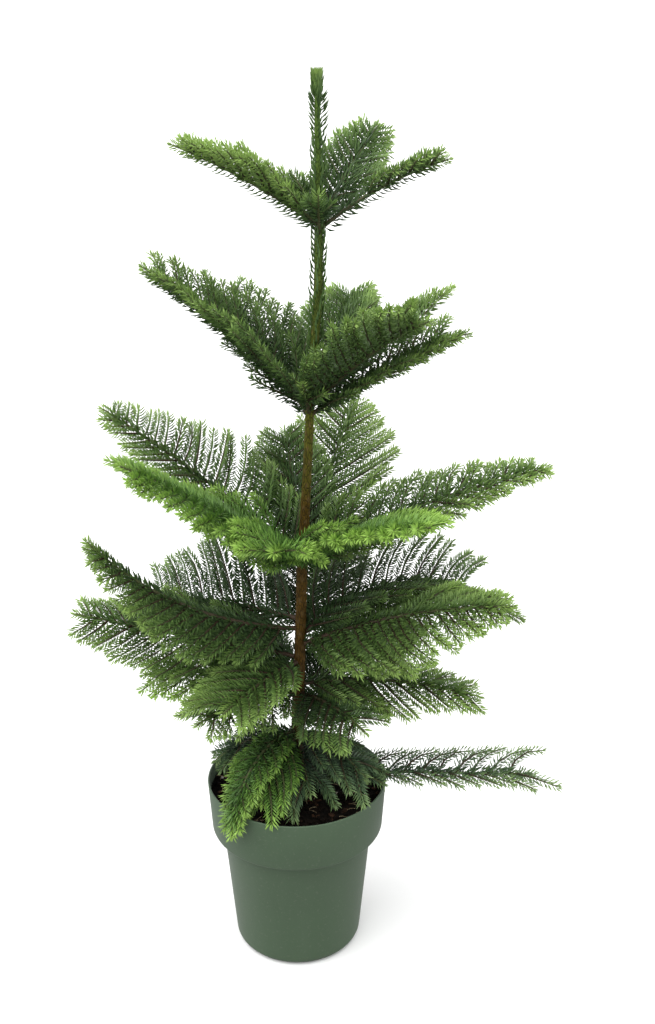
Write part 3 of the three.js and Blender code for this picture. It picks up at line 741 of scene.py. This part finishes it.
def stem_frame(frond, distance):
    """A place on a frond's arched stem: +Z along the growth and +X up, as a matrix"""
    start = math.radians(frond["rise"])
    turn = math.radians(frond["end"] - frond["rise"])
    angle = start + turn * distance / frond["length"]
    radius = frond["length"] / turn
    place = Vector((radius * (math.sin(angle) - math.sin(start)), 0,
                    radius * (math.cos(start) - math.cos(angle))))
    along = Vector((math.cos(angle), 0, math.sin(angle)))
    up = Matrix.Rotation(math.radians(frond["roll"]), 3, along) @ Vector(
        (-math.sin(angle), 0, math.cos(angle)))
    return frond["world"] @ placing(place, along, up)


def stem_radius(frond, distance):
    return frond["stem"] * (1 - STEM_TAPER * distance / frond["length"])


def shoot_share(frond, along):
    """How long the shoots are along a frond, from its root at 0 to its tip at 1"""
    swell = min(1, ROOT_SHARE + SWELL * along)
    taper = max(0, (along - TAPER_START) / (1 - TAPER_START))
    return swell * (1 - (1 - frond["tip"]) * taper)


def shoot_direction(frond, here, right, fold, spread):
    """The direction of a shoot: spread from the stem, folded up, and sagging"""
    along, up = here.col[2].to_3d(), here.col[0].to_3d()
    side = up.cross(along) * (-1 if right else 1)
    fold, spread = math.radians(fold), math.radians(spread)
    out = side * math.cos(fold) + up * math.sin(fold)
    direction = along * math.cos(spread) + out * math.sin(spread)
    direction.z -= frond["sag"]
    return direction.normalized()


# How far a shoot may differ from the rule of its frond: its place, a share of its length, degrees
PLACE_VARIATION = 1.2
LENGTH_VARIATION = (0.92, 1.05)
FOLD_VARIATION = 6
SPREAD_VARIATION = 4

# A shoot that would touch another frond is bent up or down, and then shortened, until it is clear
BENDS = (0, 7, -7, 14, -14, 22, -22, 32, -32, 44)
SHORTENINGS = (1, 0.85, 0.7, 0.5)
SAMPLE_STEP = 4
SAMPLES_AT_TRUNK = 4
BODY_CLEARANCE = 4.5
SHOOT_CLEARANCE = 5.5
SHOOT_SEED = 900
SHOOT_VARIANTS = 3


def line_points(start, direction, length):
    count = max(2, round(length / SAMPLE_STEP))
    return [start + direction * (length * (i + 1) / count) for i in range(count)]


def node_tree(name):
    """The surface of a CAD node, in millimetres"""
    mesh = frame["nodes"][name].data
    verts = [v.co / MM for v in mesh.vertices]
    return BVHTree.FromPolygons(verts, [p.vertices[:] for p in mesh.polygons])


def points_tree(points):
    tree = kdtree.KDTree(len(points))
    for i, point in enumerate(points):
        tree.insert(point, i)
    tree.balance()
    return tree


def is_near(point, solids, distance):
    return any(solid.find_nearest(point, distance)[0] is not None for solid in solids)


def is_clear(points, solids, others):
    """Whether points are clear of the solids and of the points of other fronds"""
    return not any(is_near(point, solids, BODY_CLEARANCE) for point in points) and all(
        others.find(point)[2] > SHOOT_CLEARANCE for point in points)


def clear_way(frond, here, right, full, fold, spread, solids, others):
    """The direction, the length and the points of a shoot that is clear, or None"""
    for shortening in SHORTENINGS:
        length = max(full * shortening, SHORTEST_SHOOT)
        for bend in BENDS:
            direction = shoot_direction(frond, here, right, fold + bend, spread)
            points = line_points(here.to_translation(), direction, length)
            if is_clear(points, solids, others):
                return direction, length, points
    return None


def plan_frond(frond, draw, solids, others):
    """The shoots of a frond, on both sides in turn, and the points along them"""
    last = frond["length"] - LAST_SHOOT
    first = frond["first"]
    count = round((last - first) / frond["pitch"])
    shoots, grown = [], []
    for i in range(2 * count + 1):
        distance = first + (last - first) * i / (2 * count) + stray(draw, PLACE_VARIATION)
        share = distance / frond["length"]
        full = frond["shoot"] * shoot_share(frond, share) * draw.uniform(*LENGTH_VARIATION)
        fold = frond["fold"] + stray(draw, FOLD_VARIATION)
        spread = frond["spread"] + stray(draw, SPREAD_VARIATION)
        here = stem_frame(frond, distance)
        way = clear_way(frond, here, i % 2 == 0, full, fold, spread, solids, others)
        if way:
            direction, length, points = way
            grown += points
            shoots.append(dict(
                start=here.to_translation(), direction=direction, length=length,
                forward=here.col[2].to_3d(), share=share, variant=draw.randrange(SHOOT_VARIANTS)))
    return shoots, grown


def plan_shoots(fronds, solids):
    """Frond by frond, the shoots find their way between the stems and the shoots there already"""
    stems = [[stem_frame(f, d).to_translation() for d in range(0, f["length"] + 1, SAMPLE_STEP)]
             for f in fronds]
    grown = []
    for number, frond in enumerate(fronds):
        others = [p for i, line in enumerate(stems) if i != number for p in line[SAMPLES_AT_TRUNK:]]
        others += [p for line in grown for p in line]
        frond["shoots"], points = plan_frond(
            frond, random.Random(SHOOT_SEED + number), solids, points_tree(others))
        grown.append(points)


# Growing the fronds' meshes: the stem's own needles, and the longer hooked ones under it
STEM_SIDES = 7
STEM_RING_PITCH = 9
STEM_WOOD = 0.75
STEM_SINK = 0.6
NEEDLES_FROM = 5
STEM_NEEDLE_PITCH = 0.75
STEM_NEEDLE_SPAN = 128
STEM_NEEDLE_LEAN = (41, 55)
STEM_REACH = (0.9, 1.15)
HOOK_PITCH = (3.04, 4.56)
HOOK_SIDES = (160, 200)
HOOK_SIDE_VARIATION = 12
HOOK_LEAN = (70, 82)
HOOK_REACH = (0.88, 1.08)
HOOK_REACH_LOSS = 0.3
HOOKS_END = 10

# The shoot at a frond's tip, and the room left for its needles
TIP_SHOOT = 27
TIP_OVERLAP = 0.8
TIP_CLEARANCE = 7
TIP_SHARE = 0.95
FROND_YOUTH = 0.42
STEM_AGE = 0.15
SHOOT_DROOP = 0.45

# Needles this near to the pot or the soil are left off, on shoots that hang below NEAR_POT
PIERCING_DISTANCE = 1.2
NEAR_POT = POT_HEIGHT + 12


def grow_stem(bm, frond, needle, hook, draw):
    """A frond's stem, with needles round it and longer hooked ones along its underside"""
    length = frond["length"]
    end = length - TIP_CLEARANCE
    verts = bent_rod(bm, end, stem_radius(frond, 0), stem_radius(frond, length), STEM_SIDES,
                     length // STEM_RING_PITCH, lambda share: stem_frame(frond, share * end))
    woody = bm.verts.layers.float["woody"]
    root = frond["world"].to_translation()
    for vert in verts:
        bare = max(0, 1 - (vert.co - root).length / (STEM_WOOD * length))
        vert[woody] = frond["wood"] * bare

    # The frond's youth value carries its painted light and shade to the needles of its stem
    def stand(kind, distance, turn, lean, reach):
        add_needle(bm, kind, stem_frame(frond, distance), turn,
                   stem_radius(frond, distance) * STEM_SINK, lean, reach, draw.random(),
                   frond["youth"] + FROND_YOUTH * distance / length - STEM_AGE)

    distance = NEEDLES_FROM
    while distance < end - TIP_SHOOT * TIP_OVERLAP:
        turn = stray(draw, STEM_NEEDLE_SPAN)
        lean = draw.uniform(*STEM_NEEDLE_LEAN)
        stand(needle, distance, turn, lean, NEEDLE_LENGTH * draw.uniform(*STEM_REACH))
        distance += STEM_NEEDLE_PITCH
    distance = NEEDLES_FROM
    side = 0
    while distance < end - HOOKS_END:
        turn = HOOK_SIDES[side] + stray(draw, HOOK_SIDE_VARIATION)
        reach = HOOK_LENGTH * draw.uniform(*HOOK_REACH)
        reach *= 1 - HOOK_REACH_LOSS * distance / length
        stand(hook, distance, turn, draw.uniform(*HOOK_LEAN), reach)
        distance += draw.uniform(*HOOK_PITCH)
        side = 1 - side


def nearest_length(length):
    return min(SHOOT_LENGTHS, key=lambda known: abs(known - length))


def piercing_needles(bm, verts, solids, needle_size):
    """The vertices of needles that would go through the pot or into the soil"""
    layer = bm.verts.layers.float["along_needle"]
    doomed = []
    for i in range(0, len(verts), needle_size):
        group = verts[i:i + needle_size]
        tip = max(group, key=lambda v: v[layer]).co
        if is_near(tip, solids, PIERCING_DISTANCE):
            doomed += group
    return doomed


def tip_shoot(frond):
    """The shoot that ends a frond, in line with its stem"""
    length = frond["length"] - TIP_CLEARANCE
    here = stem_frame(frond, length - TIP_SHOOT)
    ahead = here.inverted() @ stem_frame(frond, length).to_translation()
    bulge = here.col[0].to_3d() * (-1 if frond["end"] < frond["rise"] else 1)
    return dict(start=here.to_translation(), direction=here.to_3x3() @ ahead, length=TIP_SHOOT,
                forward=bulge, share=TIP_SHARE, variant=0)


def grow_frond(frond, needle, hook, shoots, solids):
    bm = new_bmesh()
    grow_stem(bm, frond, needle, hook, random.Random(frond["node"] * 31 + frond["heading"]))
    youth = bm.verts.layers.float["youth"]
    woody = bm.verts.layers.float["woody"]
    doomed = []
    for shoot in [*frond["shoots"], tip_shoot(frond)]:
        known = nearest_length(shoot["length"])
        inwards = shoot["forward"] - UP * SHOOT_DROOP
        matrix = placing(shoot["start"], shoot["direction"], inwards)
        matrix = matrix @ Matrix.Scale(shoot["length"] / known, 4)
        verts = add_copy(bm, shoots[frond["kind"], known, shoot["variant"]], matrix)
        for vert in verts:
            # The frond's own youth value adds its painted light and shade; FROND_YOUTH makes the young
            # growth towards the tip lighter
            vert[youth] += frond["youth"] + FROND_YOUTH * shoot["share"]
            vert[woody] *= frond["wood"]
        if min(v.co.z for v in verts) < NEAR_POT:
            doomed += piercing_needles(bm, verts[SHOOT_CORE_VERTS:], solids, len(needle.vertices))
    bmesh.ops.delete(bm, geom=doomed, context="VERTS")
    slot = slot_of[frond["node_name"]]
    name = frond["node_name"].replace("_frond", "_needled_frond")
    add_piece(name, bm, [NEEDLES[slot], STEM], slot, frond["node_name"])


needle = make_needle("needle", NEEDLE_RADIUS, NEEDLE_CURVE)
hook = make_needle("hooked_needle", HOOK_RADIUS, HOOK_CURVE)
shoots = make_shoots(needle)
fronds = describe_fronds()
solids = [node_tree("nursery_pot"), node_tree("potting_soil")]
plan_shoots(fronds, solids)
for frond in fronds:
    grow_frond(frond, needle, hook, shoots, solids)


# The trunk
TRUNK_TOP = 803
TRUNK_BOTTOM = 130
TRUNK_RINGS = 330
TRUNK_SEGMENTS = 20
TRUNK_SINK = 0.7

# Leaf scars in a spiral: their pitch, their size in degrees and in pitches, and their relief. The
# bark's waves each have a scale and a height.
SCAR_PITCH = 2.6
SCAR_WIDTH = 24
SCAR_HEIGHT = 1.3
SCAR_NEIGHBOURS = 5
SCARS_END = SPINY_FROM + 60
SCAR_SHADE = 0.8
SCAR_RELIEF = 0.55
BARK_WAVES = ((0.12, 0.35), (0.5, 0.2))

# The needles on the leader, which crowd together towards the bud, and those of the bud
TRUNK_NEEDLE_PITCH = 0.9
TRUNK_NEEDLE_LEAN = (43, 53)
TRUNK_NEEDLE_TURN = (138, 150)
TRUNK_REACH = (0.92, 1.1)
TRUNK_YOUTH = 0.3
CROWDING_FROM = 758
CROWDING = 0.7
PLANT_TOP = 809.8
BUD_NEEDLES = 260
BUD_LEAN = 30
BUD_REACH = (0.9, 1.15)
BUD_YOUTH = (0.35, 0.4)


def trunk_frame(z):
    """An upright frame at the trunk's centre at a height, and the trunk's radius there"""
    place, radius = trunk_at(z)
    return placing(place, UP, RIGHT), radius


def grow_bud(bm, needle, draw):
    """The brush of young needles at the tip, whose ends reach the same height"""
    least, gain = BUD_YOUTH
    for i in range(BUD_NEEDLES):
        share = i / BUD_NEEDLES
        z = BUD_START + (TRUNK_TOP - BUD_START) * share
        here, radius = trunk_frame(z)
        lean = BUD_LEAN * math.sqrt(draw.random())
        room = (PLANT_TOP - z) / math.cos(math.radians(lean))
        reach = min(HOOK_LENGTH * draw.uniform(*BUD_REACH), room)
        add_needle(bm, needle, here, i * GOLDEN_TURN, radius * TRUNK_SINK, lean, reach,
                   draw.random(), least + gain * share)


def scar_at(z, turn):
    """How far a leaf scar stands out at a height and a heading, from 0 to 1"""
    row = z / SCAR_PITCH
    near = range(int(row) - SCAR_NEIGHBOURS, int(row) + SCAR_NEIGHBOURS + 1)
    apart = min(math.hypot(((turn - k * GOLDEN_TURN + 180) % 360 - 180) / SCAR_WIDTH,
                           (row - k) / SCAR_HEIGHT) for k in near)
    return max(0, 1 - apart) if z < SCARS_END else 0


def grow_bark(bm):
    """The trunk's stem with its leaf scars and waves"""
    def path(share):
        here, radius = trunk_frame(TRUNK_BOTTOM + (TRUNK_TOP - TRUNK_BOTTOM) * share)
        return here @ Matrix.Scale(radius, 4)

    verts = bent_rod(bm, TRUNK_TOP - TRUNK_BOTTOM, 1, 1, TRUNK_SEGMENTS, TRUNK_RINGS, path)
    layer = bm.verts.layers.float["scar"]
    for vert in verts:
        centre, _ = trunk_at(min(max(vert.co.z, TRUNK_BOTTOM), TRUNK_TOP))
        out = Vector((vert.co.x - centre.x, vert.co.y, 0))
        scar = scar_at(vert.co.z, math.degrees(math.atan2(out.y, out.x)))
        vert[layer] = scar * SCAR_SHADE
        waves = sum(noise.noise(vert.co * turns) * height for turns, height in BARK_WAVES)
        vert.co += out.normalized() * (SCAR_RELIEF * scar + waves)


def grow_trunk(needle, hook):
    bm = new_bmesh()
    grow_bark(bm)
    draw = random.Random(77)
    z = SPINY_FROM
    heading = 0
    while z < BUD_START:
        here, radius = trunk_frame(z)
        heading += draw.uniform(*TRUNK_NEEDLE_TURN)
        lean = draw.uniform(*TRUNK_NEEDLE_LEAN)
        reach = HOOK_LENGTH * draw.uniform(*TRUNK_REACH)
        add_needle(bm, hook if z < CROWDING_FROM else needle, here, heading,
                   radius * TRUNK_SINK, lean, reach, draw.random(), TRUNK_YOUTH)
        crowding = max(0, (z - CROWDING_FROM) / (BUD_START - CROWDING_FROM))
        z += TRUNK_NEEDLE_PITCH * (1 - CROWDING * crowding)
    grow_bud(bm, needle, draw)
    add_piece("scarred_trunk", bm, [NEEDLES["foliage"], BARK], "bark", "trunk")


grow_trunk(needle, hook)


# The pot, with a fillet above and below its ledge
POT_SEGMENTS = 160
ROUNDING_STEPS = 8
FILLET = 1.0
FILLET_CORNER = 0.3
FILLET_RISE = 0.2
LEDGE_SLOPE = 0.1
DOUBLES = 1e-4


def turned_body(profile, segments):
    """A closed smooth body, turned about +Z from points of radius and height"""
    bm = bmesh.new()
    verts = [bm.verts.new((r, 0, z)) for r, z in profile]
    edges = [bm.edges.new(pair) for pair in zip(verts, verts[1:])]
    bmesh.ops.spin(bm, geom=verts + edges, cent=(0, 0, 0), axis=(0, 0, 1), dvec=(0, 0, 0),
                   angle=2 * math.pi, steps=segments, use_merge=True, use_duplicate=False)
    bmesh.ops.remove_doubles(bm, verts=bm.verts, dist=DOUBLES)
    bmesh.ops.recalc_face_normals(bm, faces=bm.faces)
    smooth_faces(bm.faces)
    return bm


def corner(centre, radius, start, end):
    """Points on an arc about a centre, between two angles in degrees"""
    turn = (end - start) / ROUNDING_STEPS
    angles = [math.radians(start + turn * i) for i in range(ROUNDING_STEPS + 1)]
    return [(centre[0] + radius * math.cos(a), centre[1] + radius * math.sin(a)) for a in angles]


def wall_profile(inset):
    """The pot's wall from its foot to the collar's lower edge, moved inwards"""
    foot = corner((FOOT_RADIUS, FOOT_ROUNDING), FOOT_ROUNDING - inset, -90, -90 + FOOT_TURN)
    ledge = POT_HEIGHT - COLLAR_HEIGHT + inset
    body = BODY_TOP_RADIUS - inset
    collar, collar_base = COLLAR_LOW_RADIUS - inset, ledge + COLLAR_LEDGE
    return [*foot,
            (body, ledge - FILLET),
            (body + FILLET_CORNER, ledge - FILLET_CORNER),
            (body + FILLET, ledge + LEDGE_SLOPE),
            (collar - FILLET, collar_base - LEDGE_SLOPE),
            (collar - FILLET_CORNER, collar_base + FILLET_RISE),
            (collar, collar_base + FILLET)]


def make_pot():
    outer, inner = wall_profile(0), wall_profile(POT_WALL)
    half = POT_WALL / 2
    rim = corner((RIM_RADIUS - half, POT_HEIGHT - half), half, 0, 180)
    bm = turned_body([(0, 0), *outer, *rim, *reversed(inner), (0, POT_WALL)], POT_SEGMENTS)
    cut_drains(add_piece("moulded_pot", bm, [PLASTIC], "pot", "nursery_pot"))


def cut_drains(pot):
    """Cuts the drain slots into the edge of the pot's base"""
    bm = bmesh.new()
    for i in range(DRAIN_COUNT):
        matrix = Matrix.Rotation(math.radians(DRAIN_HEADING + i * 360 / DRAIN_COUNT), 4, "Z")
        matrix = matrix @ Matrix.Translation((DRAIN_CENTRE, 0, 0)) @ Matrix.Diagonal(
            (*DRAIN_SIZE, 1))
        bmesh.ops.create_cube(bm, size=1, matrix=matrix)
    to_metres(bm)
    cutter = new_object("drain_cutter", to_mesh(bm, "drain_cutter"))
    cut = pot.modifiers.new("drains", "BOOLEAN")
    cut.operation = "DIFFERENCE"
    cut.solver = "EXACT"
    cut.object = cutter
    depsgraph = bpy.context.evaluated_depsgraph_get()
    done = bpy.data.meshes.new_from_object(pot.evaluated_get(depsgraph))
    pot.modifiers.remove(cut)
    pot.data = done
    bpy.data.objects.remove(cutter)


make_pot()


# The soil: its mesh is spun flat, START_LIFT above its edge, and then gets its mound. Lumps and
# crumbs are fractal noise with a scale, a height, and a fall, growth and count of octaves.
SOIL_SEGMENTS = 120
SOIL_RINGS = 44
START_LIFT = 0.2
LUMP_SCALE = 0.05
LUMP_HEIGHT = 1.7
LUMP_OCTAVES = (0.6, 2.2, 3)
CRUMB_SCALE = 0.28
CRUMB_HEIGHT = 0.9
CRUMB_OCTAVES = (0.8, 2.1, 3)
CRUMB_SHIFT = Vector((9, 2, 0))
EDGE_FADE = 8
EDGE_LEAST = 0.15


def soil_height(x, y):
    """The mound's height, with lumps and crumbs that fade towards the edge"""
    share = min(1, math.hypot(x, y) / SOIL_RADIUS)
    height = SOIL_EDGE_HEIGHT + SOIL_MOUND * (1 - share)
    place = Vector((x, y, 0))
    fade = min(1, (1 - share) * EDGE_FADE + EDGE_LEAST)
    lumps = noise.fractal(place * LUMP_SCALE, *LUMP_OCTAVES) * LUMP_HEIGHT
    crumbs = noise.fractal(place * CRUMB_SCALE + CRUMB_SHIFT, *CRUMB_OCTAVES) * CRUMB_HEIGHT
    return height + (lumps + crumbs) * fade


def soil_edge_radius():
    slope = (RIM_RADIUS - COLLAR_LOW_RADIUS) / COLLAR_HEIGHT
    rise = SOIL_EDGE_HEIGHT - (POT_HEIGHT - COLLAR_HEIGHT + POT_WALL + COLLAR_LEDGE)
    return COLLAR_LOW_RADIUS - POT_WALL - SEAT + slope * rise


SOIL_RADIUS = soil_edge_radius()


def make_soil():
    below = wall_profile(POT_WALL + SEAT)
    start = SOIL_EDGE_HEIGHT + START_LIFT
    rings = [(SOIL_RADIUS * (1 - i / SOIL_RINGS), start) for i in range(SOIL_RINGS)]
    bm = turned_body([(0, below[0][1]), *below, *rings, (0, start)], SOIL_SEGMENTS)
    for vert in bm.verts:
        if vert.co.z > SOIL_EDGE_HEIGHT:
            vert.co.z = soil_height(vert.co.x, vert.co.y)
    add_piece("crumbly_soil", bm, [PEAT], "soil", "potting_soil")


# Templates 1 mm across of what lies on the soil, made in a bmesh with random draws
FIBRE_BEND = (0.2, 0.6)
CHIP_SHAPE = (1, 0.62, 0.24)
CHIP_ROUGHNESS = 0.07
CHIP_BEVEL = 0.03
CLOD_ROUGHNESS = 0.5
CLOD_WAVES = 2.2
CLOD_SHIFT = 9


def shape_fibre(bm, draw):
    bmesh.ops.create_cone(bm, cap_ends=True, segments=4, radius1=0.035, radius2=0.02, depth=1)
    walls = [e for e in bm.edges if abs(e.verts[0].co.z - e.verts[1].co.z) > 0.5]
    bmesh.ops.subdivide_edges(bm, edges=walls, cuts=4)
    bend = draw.uniform(*FIBRE_BEND)
    for vert in bm.verts:
        vert.co.x += bend * vert.co.z * vert.co.z
    lying = Matrix.Rotation(math.pi / 2, 3, "Y")
    bmesh.ops.rotate(bm, cent=(0, 0, 0), matrix=lying, verts=bm.verts)


def shape_chip(bm, draw):
    bmesh.ops.create_cube(bm, size=1)
    bmesh.ops.scale(bm, vec=CHIP_SHAPE, verts=bm.verts)
    bmesh.ops.subdivide_edges(bm, edges=bm.edges, cuts=1, use_grid_fill=True)
    for vert in bm.verts:
        vert.co += Vector([stray(draw, CHIP_ROUGHNESS) for _ in range(3)])
    bmesh.ops.bevel(bm, geom=bm.edges[:], offset=CHIP_BEVEL, segments=1, affect="EDGES",
                    profile=0.5, material=-1)


def shape_clod(bm, draw):
    bmesh.ops.create_icosphere(bm, subdivisions=2, radius=0.5)
    shift = Vector([stray(draw, CLOD_SHIFT) for _ in range(3)])
    for vert in bm.verts:
        vert.co *= 1 + CLOD_ROUGHNESS * noise.noise(vert.co * CLOD_WAVES + shift)


# How the litter is strewn: how many templates, how high it lies as a share of its size, the share
# of the soil's area that it covers, its greatest tilts, and its turn in radians
TEMPLATES = 4
LIFT = {shape_clod: 0.05, shape_chip: 0.12, shape_fibre: 0.12}
STREWN_SHARE = 0.93
TILTS = (0.5, 0.4)
SPIN = 6.28


def scatter(name, shape, material, count, sizes, inner, seed):
    """Strews copies of a few templates over the soil, half sunk or lying on it"""
    draw = random.Random(seed)
    templates = []
    for _ in range(TEMPLATES):
        bm = bmesh.new()
        shape(bm, draw)
        bmesh.ops.recalc_face_normals(bm, faces=bm.faces)
        templates.append(to_mesh(bm, f"{name}_template"))
    bm = bmesh.new()
    for _ in range(count):
        radius = math.sqrt(draw.uniform((inner / SOIL_RADIUS) ** 2, STREWN_SHARE)) * SOIL_RADIUS
        turn = draw.uniform(0, 2 * math.pi)
        x, y = radius * math.cos(turn), radius * math.sin(turn)
        size = draw.uniform(*sizes)
        place = Vector((x, y, soil_height(x, y) + LIFT[shape] * size))
        tilt = Matrix.Rotation(stray(draw, TILTS[0]), 4, "X") @ Matrix.Rotation(
            stray(draw, TILTS[1]), 4, "Y")
        matrix = Matrix.Translation(place) @ Matrix.Rotation(draw.uniform(0, SPIN), 4, "Z") @ tilt
        add_copy(bm, draw.choice(templates), matrix @ Matrix.Scale(size, 4))
    add_piece(name, bm, [material], "soil")


make_soil()
scatter("peat_crumbs", shape_clod, PEAT, count=420, sizes=(2, 5.5), inner=8, seed=11)
scatter("bark_bits", shape_chip, CHIPS, count=90, sizes=(3, 7), inner=20, seed=12)
scatter("peat_fibre_strands", shape_fibre, FIBRES, count=150, sizes=(7, 16), inner=15, seed=13)
scatter("perlite_grains", shape_clod, PERLITE, count=36, sizes=(1.5, 3), inner=15, seed=14)


# The studio: the floor's radius in metres, and how bright floor and sky are seen and give light
FLOOR_RADIUS = 60
FLOOR_SEEN = 0.92
FLOOR_BOUNCE = 0.3
SKY_SEEN = 1.2
SKY_LIGHT = 1.1


def soft_light(name, place, width, power):
    """A broad light far enough away to light plant and floor evenly, aimed at the plant"""
    data = bpy.data.lights.new(name, "SUN")
    data.angle = math.radians(width)
    data.energy = power
    light = new_object(name, data)
    light.rotation_euler = (-Vector(place)).to_track_quat("-Z", "Y").to_euler()


def make_floor():
    """A pale floor that throws less light back up at the plant than the camera sees on it"""
    material, tree, shader = new_material("studio_floor", roughness=0.9)
    seen = add_node(tree, "ShaderNodeLightPath").outputs["Is Camera Ray"]
    set_colour(tree, shader, mix_colour(tree, seen, grey(FLOOR_BOUNCE), grey(FLOOR_SEEN)))
    bm = bmesh.new()
    bmesh.ops.create_circle(bm, cap_ends=True, segments=96, radius=FLOOR_RADIUS)
    floor = new_object("studio_floor", to_mesh(bm, "studio_floor"))
    floor.data.materials.append(material)


def make_sky():
    """A white sky, brighter where the camera looks at it than where it lights the plant"""
    world = bpy.data.worlds.new("studio_world")
    world.use_nodes = True
    tree = world.node_tree
    seen = add_node(tree, "ShaderNodeLightPath").outputs["Is Camera Ray"]
    strength = add_node(tree, "ShaderNodeMapRange", value=seen, to_min=SKY_LIGHT, to_max=SKY_SEEN)
    tree.links.new(strength.outputs[0], tree.nodes["Background"].inputs["Strength"])
    tree.nodes["Background"].inputs["Color"].default_value = grey(1)
    bpy.context.scene.world = world


make_floor()
make_sky()
soft_light("top_light", (-0.35, -0.3, 1), width=70, power=2.3)
soft_light("left_light", (-1, -0.15, 0.4), width=60, power=0.8)
soft_light("right_light", (1, -0.15, 0.4), width=60, power=0.8)
bpy.context.scene.view_settings.view_transform = "Standard"
